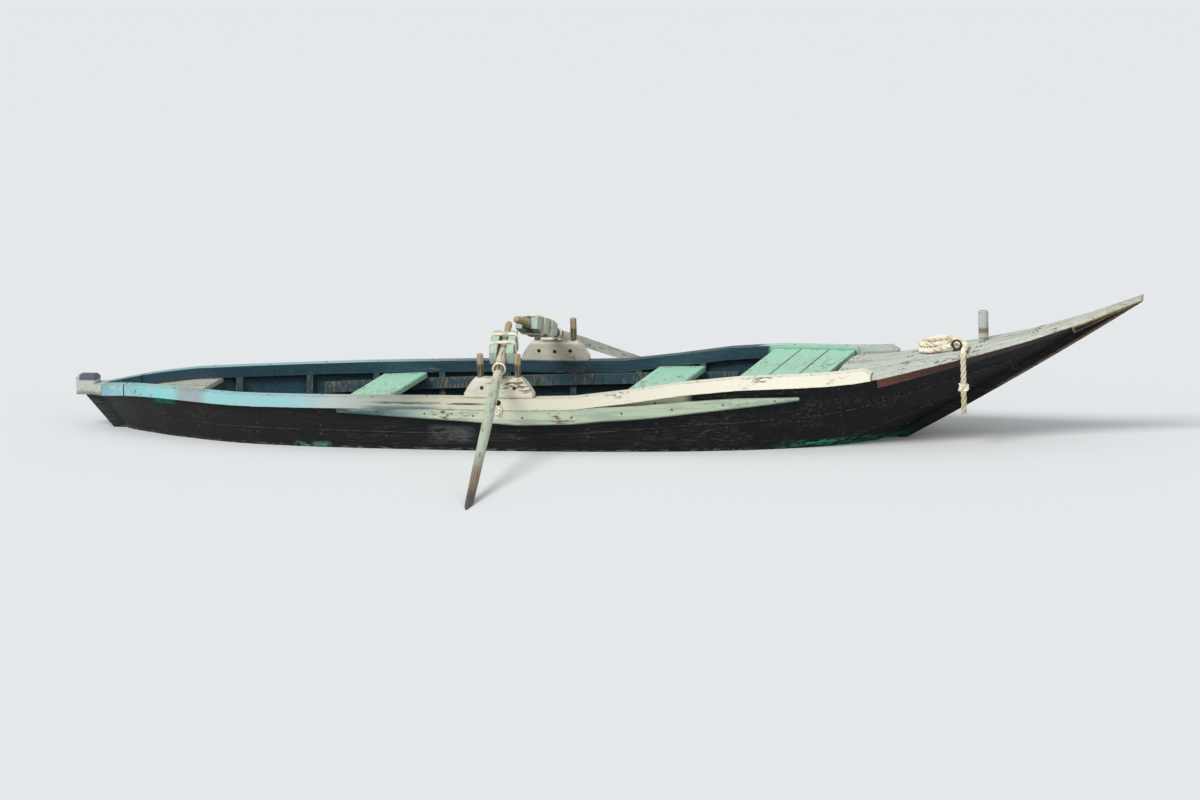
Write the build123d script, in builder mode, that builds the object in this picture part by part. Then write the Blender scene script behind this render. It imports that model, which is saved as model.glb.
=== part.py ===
"""Small planked rowing boat for fishing: raked ends, foredeck, two oars between thole pins.

Millimetres. Origin on the waterline plane, on the centreline, midway between the two ends.
+X towards the bow, +Y to port, +Z up.
"""
from build123d import *
from math import atan2, cos, degrees, hypot, radians, sin, tan
import os

os.makedirs("parts", exist_ok=True)

# Length, and the 21 stations that divide it: 0 at the stern, 20 at the tip of the bow
LENGTH = 5500
STATION_COUNT = 20


def at(station):
    """Distance forward of the middle of the boat."""
    return LENGTH * (station / STATION_COUNT - 0.5)


def at_ends(*stations):
    return tuple(at(station) for station in stations)


# Backbone: keel, stem and sternpost in one upright plane
BACKBONE_WIDTH = 60
KEEL_BOTTOM = -210
KEEL_OUTSIDE = 45
STEM_FOOT = at(15.82)
STEM_FOOT_RAKE, FORE_BEND_RADIUS = 28.2, 1938
STEM_TIP_HEIGHT = 690
STERNPOST_TOP, STERNPOST_HEIGHT = at(0.18), 165
STERN_RAKE, AFT_BEND_RADIUS = 48.9, 613

# Planking, frames and the clearances between pieces
PLANK = 20
FRAME_DEPTH, FRAME_WIDTH = 36, 32
FRAME_PLACES = [at(2.75 + 1.25 * k) for k in range(10)]
FIT = 0.3
STRIP_FIT = 0.8
SEATED_FIT = 2
END_STEP = 1
FLAT = 1e-4

# Seams of the planking, from the keel up: where each runs out on the sternpost and on the stem
SEAM_ENDS = (at_ends(1.25, 16), at_ends(1, 17), at_ends(0.75, 18))
SHEER_ENDS = at_ends(0.55, 18.75)
STRAKE_NAMES = ("garboard", "bilge_strake", "side_strake", "sheer_strake")

# Table of offsets: station, then half breadth and rise of the bottom, bilge and side seams,
# and half breadth and height of the sheer. A rise is in percent of the way from keel to sheer.
OFFSETS = (
    (0.5, 26, 2, 26, 8, 30, 30, 53, 168),
    (1, 51, 10, 84, 24, 121, 60, 154, 186),
    (1.5, 108, 16, 166, 40, 211, 68, 246, 198),
    (2, 185, 17, 255, 45, 300, 71, 328, 204),
    (3.5, 353, 13, 449, 40, 476, 70, 494, 200),
    (5, 418, 10, 536, 37, 559, 69, 575, 205),
    (7.5, 456, 9, 585, 35, 605, 67, 619, 213),
    (10, 455, 9, 588, 34, 610, 67, 625, 218),
    (12, 407, 9, 538, 31, 577, 66, 597, 290),
    (13, 349, 9, 481, 31, 535, 65, 561, 313),
    (14, 269, 6, 400, 31, 469, 65, 504, 318),
    (14.5, 220, 4, 350, 29, 426, 64, 468, 321),
    (15, 154, 5, 285, 27, 369, 63, 425, 330),
    (15.5, 96, 6, 218, 27, 314, 63, 386, 350),
    (16, 54, 5, 155, 26, 263, 63, 347, 380),
    (17, 36, 4, 68, 11, 165, 54, 255, 440),
    (18, 32, 2, 46, 8, 76, 28, 162, 508),
    (19, 31, 1, 35, 5, 41, 20, 94, 594),
    (19.5, 30, 1, 32, 5, 36, 20, 60, 646),
    (20, 29, 1, 31, 5, 34, 20, 26, 697),
)
SEAMS = 3

# Rails on top of the sheer: x, height; then the rub strakes and bands: x, drop below the sheer, height
RAIL = ((at(0.55), 56), (at(15.15), 62), (at(15.3), 34))
RAIL_INSIDE, RAIL_OUTSIDE = 58, 25
RUB_STRAKE = ((at(5.6), 0, 20), (at(7.5), 0, 52), (at(9), 0, 74), (at(10.4), 0, 74),
              (at(11.8), 30, 68), (at(13.1), 42, 48), (at(14.05), 48, 16))
RUB_THICKNESS = 26
BOW_BAND = ((at(15.4), 0, 44), (at(16.5), 0, 36), (at(18.7), 0, 18))
BOW_BAND_THICKNESS = 10

# Decks
DECK = 22
DECK_SEAM = 3
DECK_OVERHANG = 12
DECK_CAMBER = 32
FOREDECK_AFT, FOREDECK_TIP = at(14.6), LENGTH / 2 - 5
FOREDECK_EDGES = (-1, -0.62, -0.21, 0.21, 0.62, 1)
BEAM_WIDTH, BEAM_DEPTH = 40, 44
FOREDECK_BEAMS = at_ends(14.7, 15.8, 17.1, 18.1)
AFT_DECK_ENDS = at_ends(0.7, 2.45)
AFT_DECK_EDGES = (-1, -0.33, 0.33, 1)
AFT_DECK_BEAMS = at_ends(2.36, 1.3)
HEAD_TAPER = ((SHEER_ENDS[1], 52), (FOREDECK_TIP, 4))
HEAD_EDGE = 2

# Head of the sternpost
STERN_HEAD_LENGTH, STERN_HEAD_WIDTH, STERN_HEAD_HEIGHT = 110, 96, 100
STERN_HEAD_ROUNDING, STERN_HEAD_LAP = 14, 20

# Floorboards: distance from the centreline, aft end, fore end
FLOORBOARD_WIDTH, FLOORBOARD = 128, 18
FLOORBOARDS = ((0, at(2.8), at(13.95)), (142, at(2.8), at(13.95)), (-142, at(2.8), at(13.95)),
               (284, at(4.2), at(12.2)), (-284, at(4.2), at(12.2)))

# Thwarts on their risers: middle, width
RISER_TOPS = ((at(4.3), 165), (at(12.2), 235))
RISER_DEPTH, RISER_THICKNESS = 55, 20
THWART, THWART_ROUNDING = 28, 6
ROWING_THWART = (at(11.1), 250)
AFT_THWART = (at(5.8), 230)

# Bench of boards from rail to rail, abaft the foredeck
BENCH_START, BENCH_BOARD_WIDTH, BENCH_BOARDS, BENCH_SEAM = at(12.9), 140, 3, 6
BENCH_BOARD, BENCH_BELOW_RAIL = 24, 16
LEDGER_WIDTH, LEDGER_DEPTH = 28, 20

# Thole chocks, pins and oars
THOLE_X = at(8.65)
CHOCK_BASE, CHOCK_TOP, CHOCK_HEIGHT, CHOCK_WIDTH = 350, 225, 106, 56
CHOCK_TOE, CHOCK_SHOULDER = 22, 30
PIN_SPACING, PIN_DIAMETER, PIN_ABOVE, PIN_SEAT, PIN_CHAMFER = 190, 34, 112, 88, 5
PIN_SIDES = 12
SHAFT_DIAMETER = 46
STROP_ROPE, STROP_RADIUS, STROP_SEAT = 12, 30, 0.6
OAR_SLOPE, OAR_SWEEP, STROP_TILT = 15.2, 8, 5
OAR_INBOARD, OAR_OUTBOARD = 560, 2240
BLADE_LENGTH, BLADE_WIDTH, BLADE, BLADE_ROOT, BLADE_TIP, BLADE_SPINE = 620, 130, 20, 50, 20, 32
CHEEK_NEAR, CHEEK_LENGTH, CHEEK_THICKNESS = 130, 280, 36
CHEEK_DEPTH, CHEEK_END_DEPTH, CHEEK_TAPER = 84, 58, 60

# Post on the foredeck, and a ring bolt beside it
POST_X, POST_DIAMETER, POST_ABOVE, POST_CHAMFER = at(17.1), 50, 150, 6
POST_NECK, POST_NECK_ABOVE = 44, 16
RING_X, RING_Y, RING_PLATE, RING_PLATE_THICKNESS, RING_RADIUS, RING_ROD = at(16.72), -150, 52, 5, 22, 10

# Bow rope: from the ring to its coil, then from the coil's top across the deck, each as x, y and
# height over the deck, then down the side as x, y and z
ROPE_DIAMETER, ROPE_SIDES, ARC_SHARE = 30, 8, 0.45
ROPE_X = at(16.9)
LEAD = ((-33.4, -150, 27), (-64, -149.5, 25.5), (-98, -141, 20), (-132, -121, 16.4), (-163, -93, 16.2),
        (-186, -60, 16.2))
ON_DECK = ((-118, 31, 46), (-95, -8, 45), (-68, -48, 30), (-36, -88, 18), (-11, -128, 16.2),
           (-4, -165, 16.2), (0, -215, 16.2))
DOWN_SIDE = ((1, 12, 20), (0, 22, -18), (2, 19, -90), (-1, 18, -160), (2, 19, -225), (0, 18, -290))
KNOT_POINT, KNOT_DIAMETER, KNOT_LENGTH, KNOT_CHAMFER, KNOT_SIDES = 10, 62, 54, 14, 12
COIL_X, COIL_Y, COIL_RADIUS, COIL_HEIGHT, COIL_CHAMFER, COIL_SIDES = at(16.23), 0, 88, 62, 16, 20
RING_SIDES, ROD_SIDES = 20, 8

HALF_BACKBONE = BACKBONE_WIDTH / 2
KEEL_TOP = KEEL_OUTSIDE + PLANK
BEYOND = 300

# Where the bends of the backbone meet the straight keel
BEND_RISE = FORE_BEND_RADIUS * (1 - cos(radians(STEM_FOOT_RAKE)))
KEEL_FORE = STEM_FOOT - FORE_BEND_RADIUS * sin(radians(STEM_FOOT_RAKE))
KEEL_AFT = (STERNPOST_TOP + (STERNPOST_HEIGHT - KEEL_BOTTOM) / tan(radians(STERN_RAKE))
            + AFT_BEND_RADIUS * tan(radians(STERN_RAKE / 2)))
AFT_RISE = AFT_BEND_RADIUS * (1 - cos(radians(STERN_RAKE)))
STERNPOST_RUN = (STERNPOST_HEIGHT - KEEL_BOTTOM - AFT_RISE) / sin(radians(STERN_RAKE))

# The stem above its foot: an arc that leaves the bend smoothly and ends at the tip
stem_chord = Vector(LENGTH / 2 - STEM_FOOT, STEM_TIP_HEIGHT - KEEL_BOTTOM - BEND_RISE)
STEM_TURN = 2 * (degrees(atan2(stem_chord.Y, stem_chord.X)) - STEM_FOOT_RAKE)
STEM_RADIUS = stem_chord.length / (2 * sin(radians(STEM_TURN / 2)))


def backbone_curve(inset):
    """Side view from the head of the sternpost to the tip of the stem, inset from the outer edge."""
    with BuildLine() as aft:
        JernArc((KEEL_AFT, KEEL_BOTTOM + inset), (-1, 0), AFT_BEND_RADIUS - inset, -STERN_RAKE)
        rake = (-cos(radians(STERN_RAKE)), sin(radians(STERN_RAKE)))
        PolarLine(aft.line @ 1, STERNPOST_RUN, direction=rake)
    with BuildLine() as fore:
        bend = JernArc((KEEL_FORE, KEEL_BOTTOM + inset), (1, 0), FORE_BEND_RADIUS - inset,
                       STEM_FOOT_RAKE)
        JernArc(bend @ 1, bend % 1, abs(STEM_RADIUS - inset), STEM_TURN)
    return aft.line, fore.line


def heights(curve, samples=160):
    """Points along a side view curve, in order of x."""
    return sorted((point.X, point.Y) for point in (curve @ (i / samples) for i in range(samples + 1)))


def between(x, pairs):
    """Straight interpolation of y at x in pairs sorted by x."""
    for (x0, y0), (x1, y1) in zip(pairs, pairs[1:]):
        if x <= x1:
            break
    return y0 + (y1 - y0) * (x - x0) / (x1 - x0)


AFT_RABBET, FORE_RABBET = (heights(curve) for curve in backbone_curve(KEEL_OUTSIDE))
RABBET_LINE = AFT_RABBET + FORE_RABBET


def fair(x, column):
    """Value on the fair curve through one column of the table of offsets."""
    rows = [(at(row[0]), row[column]) for row in OFFSETS]
    i = max(k for k in range(len(rows) - 1) if rows[k][0] <= x or k == 0)
    (x0, y0), (x1, y1) = rows[i], rows[i + 1]
    slope = (y1 - y0) / (x1 - x0)
    before = slope if i == 0 else (y1 - rows[i - 1][1]) / (x1 - rows[i - 1][0])
    after = slope if i + 2 == len(rows) else (rows[i + 2][1] - y0) / (rows[i + 2][0] - x0)
    t, step = (x - x0) / (x1 - x0), x1 - x0
    return (y0 * (1 + 2 * t) * (1 - t) ** 2 + step * before * t * (1 - t) ** 2
            + y1 * t * t * (3 - 2 * t) - step * after * t * t * (1 - t))


def sheer_point(x):
    return fair(x, 2 * SEAMS + 1), fair(x, 2 * SEAMS + 2)


def seam_point(x, seam):
    foot, top = between(x, RABBET_LINE), sheer_point(x)[1]
    return fair(x, 2 * seam + 1), foot + (top - foot) * fair(x, 2 * seam + 2) / 100


def inward(points, thickness):
    """Points offset to the inside, the first one straight up and the last one level."""
    sides = [(b[0] - a[0], b[1] - a[1]) for a, b in zip(points, points[1:])]
    normals = [(-dz / hypot(dy, dz), dy / hypot(dy, dz)) for dy, dz in sides]
    moved = [(points[0][0], points[0][1] + thickness / normals[0][1])]
    for point, below, above in zip(points[1:], normals, normals[1:]):
        scale = thickness / (1 + below[0] * above[0] + below[1] * above[1])
        moved.append((point[0] + scale * (below[0] + above[0]), point[1] + scale * (below[1] + above[1])))
    moved.append((points[-1][0] + thickness / normals[-1][0], points[-1][1]))
    return moved


def corners(x):
    """Outer, inner and frame face corners of the port side at a station, from rabbet to sheer."""
    foot = (HALF_BACKBONE, between(x, RABBET_LINE))
    alive = [i for i, (aft, fore) in enumerate(SEAM_ENDS) if aft <= x <= fore]
    line = [foot] + [seam_point(x, i) for i in alive] + [sheer_point(x)]
    inner = inward(line, PLANK)
    face = inward(inner, FRAME_DEPTH)
    ended = SEAMS - len(alive)
    return [[points[0]] * (1 + ended) + points[1:] for points in (line, inner, face)]


def station_places():
    """Rows of the table, whole stations between them, and both sides of each place where a seam ends."""
    places = {at(row[0]) for row in OFFSETS} | {at(k) for k in range(1, STATION_COUNT)}
    places.update(SHEER_ENDS)
    for aft, fore in SEAM_ENDS:
        places.update((aft - END_STEP, aft, fore, fore + END_STEP))
    return sorted(x for x in places if at(0) < x <= SHEER_ENDS[1])


STATIONS = station_places()
DECK_PLACES = sorted({at(row[0]) for row in OFFSETS} | {at(k) for k in range(1, STATION_COUNT)})
STRIP_PLACES = sorted({*STATIONS, *(at(k + 0.5) for k in range(1, STATION_COUNT))})
CORNERS = {x: corners(x) for x in STATIONS}
OUTER, INNER, FACE = 0, 1, 2


def section(x):
    """The corners anywhere between two stations, on the straight planking between them."""
    if x in CORNERS:
        return CORNERS[x]
    aft = max(place for place in STATIONS if place < x)
    fore = min(place for place in STATIONS if place > x)
    t = (x - aft) / (fore - aft)
    return [[(a[0] + (b[0] - a[0]) * t, a[1] + (b[1] - a[1]) * t) for a, b in zip(one, other)]
            for one, other in zip(CORNERS[aft], CORNERS[fore])]


def half_breadth(x, z, layer):
    """Half breadth of one layer at height z."""
    line = section(x)[layer]
    for (y0, z0), (y1, z1) in zip(line, line[1:]):
        if z0 < z1 and z <= z1:
            break
    return y0 + (y1 - y0) * (z - z0) / (z1 - z0)


def sheer(x):
    """Half breadth and height of the sheer."""
    if x > SHEER_ENDS[1]:
        return sheer_point(x)
    return section(x)[OUTER][-1]


def rail_top(x):
    return sheer(x)[1] + between(x, RAIL)


def camber(x):
    return DECK_CAMBER * sheer(x)[0] / sheer(FOREDECK_AFT)[0]


def deck_crown(x, part):
    """Height of the foredeck's underside at a part of its half breadth."""
    return sheer(x)[1] + camber(x) * (1 - part ** 2)


def deck_top(x, y=0):
    """Height of the foredeck's top, on the flat width of a plank."""
    pairs = [(part, deck_crown(x, part)) for part in FOREDECK_EDGES]
    return between(y / (sheer(x)[0] + DECK_OVERHANG), pairs) + DECK


def on_deck(x, y, lift, reach=10):
    """Plane on the foredeck's top, lifted by a clearance."""
    along = Vector(2 * reach, 0, deck_top(x + reach, y) - deck_top(x - reach, y))
    across = Vector(0, 2 * reach, deck_top(x, y + reach) - deck_top(x, y - reach))
    return Plane((x, y, deck_top(x, y) + lift), x_dir=along, z_dir=along.cross(across))


def stretch(start, end, steps=STATIONS):
    """The stations within a stretch of the boat, with its two ends."""
    return [start] + [x for x in steps if start < x < end] + [end]


def skin(a, b, c, d, split):
    """Faces of one side between two sections: flat where its corners allow it, else ruled or split."""
    if abs((b - a).cross(d - a).normalized().dot(c - a)) < FLAT:
        return [Face(Wire.make_polygon([a, b, c, d]))]
    if split:
        return [Face(Wire.make_polygon([a, b, c])), Face(Wire.make_polygon([a, c, d]))]
    return [Face.make_surface_from_curves(Edge.make_line(a, b), Edge.make_line(d, c))]


def planked(sections, split=False):
    """Solid with straight sides through sections of (x, corners in y and z)."""
    rings = [[Vector(x, y, z) for y, z in points] for x, points in sections]
    faces = [Face(Wire.make_polygon(rings[0])), Face(Wire.make_polygon(rings[-1]))]
    for aft, fore in zip(rings, rings[1:]):
        for i in range(len(aft)):
            faces += skin(aft[i - 1], aft[i], fore[i], fore[i - 1], split)
    solid = Solid(Shell(faces))
    return solid if solid.volume > 0 else Solid(solid.wrapped.Reversed())


def ring(plane, radius, rod):
    """Ring about the plane's normal, of rod in short straight lengths."""
    turns = [radians(360 * k / RING_SIDES) for k in range(RING_SIDES)]
    bends = [plane.from_local_coords((radius * cos(turn), radius * sin(turn))) for turn in turns]
    start = (bends[0] + bends[-1]) / 2
    with BuildPart() as solid:
        with BuildLine() as line:
            Polyline(start, *bends, close=True)
        with BuildSketch(Plane(start, x_dir=plane.z_dir, z_dir=bends[0] - start)):
            RegularPolygon(rod / 2, ROD_SIDES)
        sweep(path=line.line, transition=Transition.RIGHT)
    return solid.part


def save(part, name):
    part.label = name
    export_step(part, f"parts/{name}.step")


def save_pair(part, name):
    """A piece made on the port side and its mirror image to starboard."""
    save(part, f"{name}_port")
    save(mirror(part, about=Plane.XZ), f"{name}_starboard")


# Keel, stem and sternpost
aft_outer, fore_outer = backbone_curve(0)
aft_inner, fore_inner = backbone_curve(KEEL_TOP)

with BuildPart() as keel:
    with BuildSketch(Plane.XZ):
        with BuildLine():
            Polyline((KEEL_AFT, KEEL_BOTTOM), (KEEL_FORE, KEEL_BOTTOM),
                     (KEEL_FORE, KEEL_BOTTOM + KEEL_TOP), (KEEL_AFT, KEEL_BOTTOM + KEEL_TOP), close=True)
        make_face()
    extrude(amount=HALF_BACKBONE, both=True)
save(keel.part, "keel")

with BuildPart() as stem:
    with BuildSketch(Plane.XZ):
        with BuildLine():
            add(fore_outer)
            add(fore_inner)
            Line(fore_outer @ 0, fore_inner @ 0)
            Line(fore_outer @ 1, fore_inner @ 1)
        make_face()
    extrude(amount=HALF_BACKBONE, both=True)
    with BuildSketch(Plane.XZ):
        with BuildLine():
            deck_line = [(x, sheer(x)[1]) for x in stretch(SEAM_ENDS[1][1], FOREDECK_TIP, DECK_PLACES)]
            over, under = deck_line[-1][1] + BEYOND, deck_line[-1][1] - BEYOND
            Polyline((deck_line[0][0], over), *deck_line, (FOREDECK_TIP, under),
                     (FOREDECK_TIP + BEYOND, under), (FOREDECK_TIP + BEYOND, over), close=True)
        make_face()
    extrude(amount=BACKBONE_WIDTH, both=True, mode=Mode.SUBTRACT)
save(stem.part, "stem")

with BuildPart() as stem_head:
    sections = []
    for x in stretch(SHEER_ENDS[1] + FIT, FOREDECK_TIP, DECK_PLACES):
        breadth, top = max(sheer(x)[0], HALF_BACKBONE + HEAD_EDGE), sheer(x)[1] - FIT
        foot = min(between(x, heights(fore_outer)) + between(x, HEAD_TAPER), top - HEAD_EDGE)
        sections.append((x, ((HALF_BACKBONE + FIT, foot), (breadth, top), (HALF_BACKBONE + FIT, top))))
    add(planked(sections, split=True))
save_pair(stem_head.part, "stem_head")

stern_height = sheer(SHEER_ENDS[0])[1]
with BuildPart() as sternpost:
    with BuildSketch(Plane.XZ):
        with BuildLine():
            add(aft_outer)
            add(aft_inner)
            Line(aft_outer @ 0, aft_inner @ 0)
            Line(aft_outer @ 1, aft_inner @ 1)
        make_face()
    extrude(amount=HALF_BACKBONE, both=True)
    with BuildSketch(Plane.XY.offset(stern_height)):
        with Locations((SHEER_ENDS[0], 0)):
            Rectangle(2 * BEYOND, BACKBONE_WIDTH)
    extrude(amount=BEYOND, mode=Mode.SUBTRACT)
save(sternpost.part, "sternpost")

with BuildPart() as stern_head:
    with BuildSketch(Plane.XY.offset(stern_height)):
        with Locations((-LENGTH / 2 + STERN_HEAD_LENGTH / 2, 0)):
            Rectangle(STERN_HEAD_LENGTH, STERN_HEAD_WIDTH)
    extrude(amount=STERN_HEAD_HEIGHT)
    fillet(stern_head.edges().filter_by(Axis.Z), STERN_HEAD_ROUNDING)
    chamfer(stern_head.faces().sort_by(Axis.Z)[-1].edges(), STERN_HEAD_ROUNDING)
    with BuildSketch(Plane.XY.offset(stern_height)):
        with BuildLine():
            half = sheer(RAIL[0][0])[0] + RAIL_OUTSIDE
            lap = -LENGTH / 2 + STERN_HEAD_LENGTH - STERN_HEAD_LAP
            Polyline((RAIL[0][0] - FIT, -half), (RAIL[0][0] - FIT, half),
                     (lap, STERN_HEAD_WIDTH / 2), (lap, -STERN_HEAD_WIDTH / 2), close=True)
        make_face()
    extrude(amount=RAIL[0][1])
save(stern_head.part, "stern_head")

# Planking: four strakes a side, each from where its lower seam leaves the backbone
for i, (name, (aft, fore)) in enumerate(zip(STRAKE_NAMES, (*SEAM_ENDS, SHEER_ENDS))):
    with BuildPart() as strake:
        sections = []
        for x in stretch(aft, fore):
            outer, inner, face = section(x)
            sections.append((x, (outer[i], outer[i + 1], inner[i + 1], inner[i])))
        add(planked(sections))
    save_pair(strake.part, name)

# Frames: a floor timber across the keel and a futtock up each side
with BuildPart() as floor_timbers:
    for place in FRAME_PLACES:
        sections = []
        for x in stretch(place - FRAME_WIDTH / 2, place + FRAME_WIDTH / 2):
            outer, inner, face = section(x)
            port = ((inner[0][0], inner[0][1] + FIT), inner[1], face[1])
            sections.append((x, port + tuple((-y, z) for y, z in reversed(port))))
        add(planked(sections))
save(floor_timbers.part, "floor_timbers")

with BuildPart() as futtocks:
    for place in FRAME_PLACES:
        sections = []
        for x in stretch(place - FRAME_WIDTH / 2, place + FRAME_WIDTH / 2):
            outer, inner, face = section(x)
            heel = [(y, z + FIT) for y, z in (face[1], inner[1])]
            sections.append((x, heel[1:] + inner[2:] + face[:1:-1] + heel[:1]))
        add(planked(sections))
save_pair(futtocks.part, "futtocks")

# Floorboards, bent down on the floor timbers
with BuildPart() as floorboards:
    for middle, aft, fore in FLOORBOARDS:
        sections = []
        for x in stretch(aft, fore, FRAME_PLACES):
            low = section(x)[FACE][1][1] + FIT
            a, b = middle - FLOORBOARD_WIDTH / 2, middle + FLOORBOARD_WIDTH / 2
            sections.append((x, ((a, low), (b, low), (b, low + FLOORBOARD), (a, low + FLOORBOARD))))
        add(planked(sections))
save(floorboards.part, "floorboards")

# Risers along the frames, and the thwarts that lie on them between the rails
with BuildPart() as riser:
    sections = []
    for x in stretch(RISER_TOPS[0][0], RISER_TOPS[-1][0]):
        top = between(x, RISER_TOPS)
        low = top - RISER_DEPTH
        y_low, y_top = (half_breadth(x, z, FACE) - STRIP_FIT for z in (low, top))
        sections.append((x, ((y_low, low), (y_top, top), (y_top - RISER_THICKNESS, top),
                             (y_low - RISER_THICKNESS, low))))
    add(planked(sections))
save_pair(riser.part, "riser")

for name, (middle, width) in (("rowing_thwart", ROWING_THWART), ("aft_thwart", AFT_THWART)):
    with BuildPart() as thwart:
        sections = []
        for x in stretch(middle - width / 2, middle + width / 2):
            low = between(x, RISER_TOPS) + FIT
            end = min(sheer(x)[0] - RAIL_INSIDE, half_breadth(x, low, FACE)) - SEATED_FIT
            sections.append((x, ((-end, low), (end, low), (end, low + THWART), (-end, low + THWART))))
        add(planked(sections))
        chamfer(thwart.faces().sort_by(Axis.X)[0].edges().sort_by(Axis.Z)[-1], THWART_ROUNDING)
        chamfer(thwart.faces().sort_by(Axis.X)[-1].edges().sort_by(Axis.Z)[-1], THWART_ROUNDING)
    save(thwart.part, name)

# Rails, rub strakes and the bands under the foredeck's edge
with BuildPart() as rail:
    sections = []
    for x in stretch(RAIL[0][0], RAIL[-1][0], sorted([*STATIONS, RAIL[1][0]])):
        y, z = sheer(x)
        sections.append((x, ((y - RAIL_INSIDE, z), (y + RAIL_OUTSIDE, z),
                             (y + RAIL_OUTSIDE, rail_top(x)), (y - RAIL_INSIDE, rail_top(x)))))
    add(planked(sections))
save_pair(rail.part, "rail")


def side_strip(table, thickness):
    """Strip on the outside of the sheer strake, by its table of x, drop below the sheer and height."""
    drops = [(x, drop) for x, drop, height in table]
    depths = [(x, height) for x, drop, height in table]
    sections = []
    for x in stretch(table[0][0], table[-1][0], STRIP_PLACES):
        y, z = sheer(x)
        top, low = z - between(x, drops) - FIT, z - between(x, drops) - between(x, depths)
        at_top, at_low = (half_breadth(x, height, OUTER) + STRIP_FIT for height in (top, low))
        sections.append((x, ((at_low, low), (at_low + thickness, low),
                             (at_top + thickness, top), (at_top, top))))
    add(planked(sections))


with BuildPart() as rub_strake:
    side_strip(RUB_STRAKE, RUB_THICKNESS)
save_pair(rub_strake.part, "rub_strake")

with BuildPart() as bow_band:
    side_strip(BOW_BAND, BOW_BAND_THICKNESS)
save_pair(bow_band.part, "bow_band")

# Deck beams: cambered under the foredeck, straight under the aft deck
with BuildPart() as foredeck_beams:
    for place in FOREDECK_BEAMS:
        sections = []
        for x in stretch(place - BEAM_WIDTH / 2, place + BEAM_WIDTH / 2):
            top = sheer(x)[1] - FIT
            a, b = (half_breadth(x, z, INNER) - FIT for z in (top, top - BEAM_DEPTH))
            crown = [(part * (sheer(x)[0] + DECK_OVERHANG), deck_crown(x, part) - FIT)
                     for part in FOREDECK_EDGES[-2:0:-1]]
            if place < RAIL[-1][0]:
                inside_rail = sheer(x)[0] - RAIL_INSIDE - SEATED_FIT
                crown = [(inside_rail, top), *crown, (-inside_rail, top)]
            sections.append((x, [(-b, top - BEAM_DEPTH), (b, top - BEAM_DEPTH), (a, top), *crown,
                                 (-a, top)]))
        add(planked(sections))
save(foredeck_beams.part, "foredeck_beams")

with BuildPart() as aft_deck_beams:
    for place in AFT_DECK_BEAMS:
        sections = []
        for x in stretch(place - BEAM_WIDTH / 2, place + BEAM_WIDTH / 2):
            top = sheer(x)[1] - DECK - 2 * FIT
            a, b = (half_breadth(x, z, INNER) - FIT for z in (top, top - BEAM_DEPTH))
            sections.append((x, ((-b, top - BEAM_DEPTH), (b, top - BEAM_DEPTH), (a, top), (-a, top))))
        add(planked(sections))
save(aft_deck_beams.part, "aft_deck_beams")

# Foredeck: long tapered planks over cambered beams, notched round the ends of the rails
with BuildPart() as foredeck:
    for a, b in zip(FOREDECK_EDGES, FOREDECK_EDGES[1:]):
        sections = []
        for x in stretch(FOREDECK_AFT, FOREDECK_TIP, DECK_PLACES):
            breadth = sheer(x)[0] + DECK_OVERHANG
            left, right = a * breadth + DECK_SEAM / 2, b * breadth - DECK_SEAM / 2
            z_left, z_right = deck_crown(x, a), deck_crown(x, b)
            sections.append((x, ((left, z_left), (right, z_right), (right, z_right + DECK),
                                 (left, z_left + DECK))))
        add(planked(sections))
    for side in (1, -1):
        sections = []
        for x in stretch(FOREDECK_AFT - DECK, RAIL[-1][0] + SEATED_FIT):
            y, z = sheer(x)
            notch, low, high = y - RAIL_INSIDE - SEATED_FIT, z - DECK, z + 3 * DECK
            sections.append((x, [(side * w, h) for w, h in (
                (notch, low), (y + RAIL_INSIDE, low), (y + RAIL_INSIDE, high), (notch, high))]))
        add(planked(sections), mode=Mode.SUBTRACT)
    with Locations((POST_X, 0, deck_top(POST_X))):
        Cylinder(POST_NECK / 2 + FIT, 4 * DECK, mode=Mode.SUBTRACT)
save(foredeck.part, "foredeck_planks")

# Short deck in the stern, flush with the sheer between the rails
with BuildPart() as aft_deck:
    for a, b in zip(AFT_DECK_EDGES, AFT_DECK_EDGES[1:]):
        sections = []
        for x in stretch(*AFT_DECK_ENDS):
            top = sheer(x)[1] - FIT
            width = half_breadth(x, top - DECK, INNER) - FIT
            left, right = a * width + DECK_SEAM / 2, b * width - DECK_SEAM / 2
            sections.append((x, ((left, top - DECK), (right, top - DECK), (right, top), (left, top))))
        add(planked(sections))
save(aft_deck.part, "aft_deck_planks")

# Bench of boards between the rails, on two ledgers
with BuildPart() as bench:
    for k in range(BENCH_BOARDS):
        start = BENCH_START + k * (BENCH_BOARD_WIDTH + BENCH_SEAM)
        sections = []
        for x in stretch(start, start + BENCH_BOARD_WIDTH):
            end = sheer(x)[0] - RAIL_INSIDE - SEATED_FIT
            top = rail_top(x) - BENCH_BELOW_RAIL
            sections.append((x, ((-end, top - BENCH_BOARD), (end, top - BENCH_BOARD), (end, top),
                                 (-end, top))))
        add(planked(sections))
save(bench.part, "bench_boards")

BENCH_END = BENCH_START + BENCH_BOARDS * (BENCH_BOARD_WIDTH + BENCH_SEAM) - BENCH_SEAM
with BuildPart() as ledgers:
    for side in (1, -1):
        sections = []
        for x in stretch(BENCH_START, BENCH_END):
            y = sheer(x)[0] - RAIL_INSIDE - FIT
            top = rail_top(x) - BENCH_BELOW_RAIL - BENCH_BOARD - FIT
            points = ((y - LEDGER_WIDTH, top - LEDGER_DEPTH), (y, top - LEDGER_DEPTH), (y, top),
                      (y - LEDGER_WIDTH, top))
            sections.append((x, [(side * w, h) for w, h in points]))
        add(planked(sections))
save(ledgers.part, "bench_ledgers")

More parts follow.
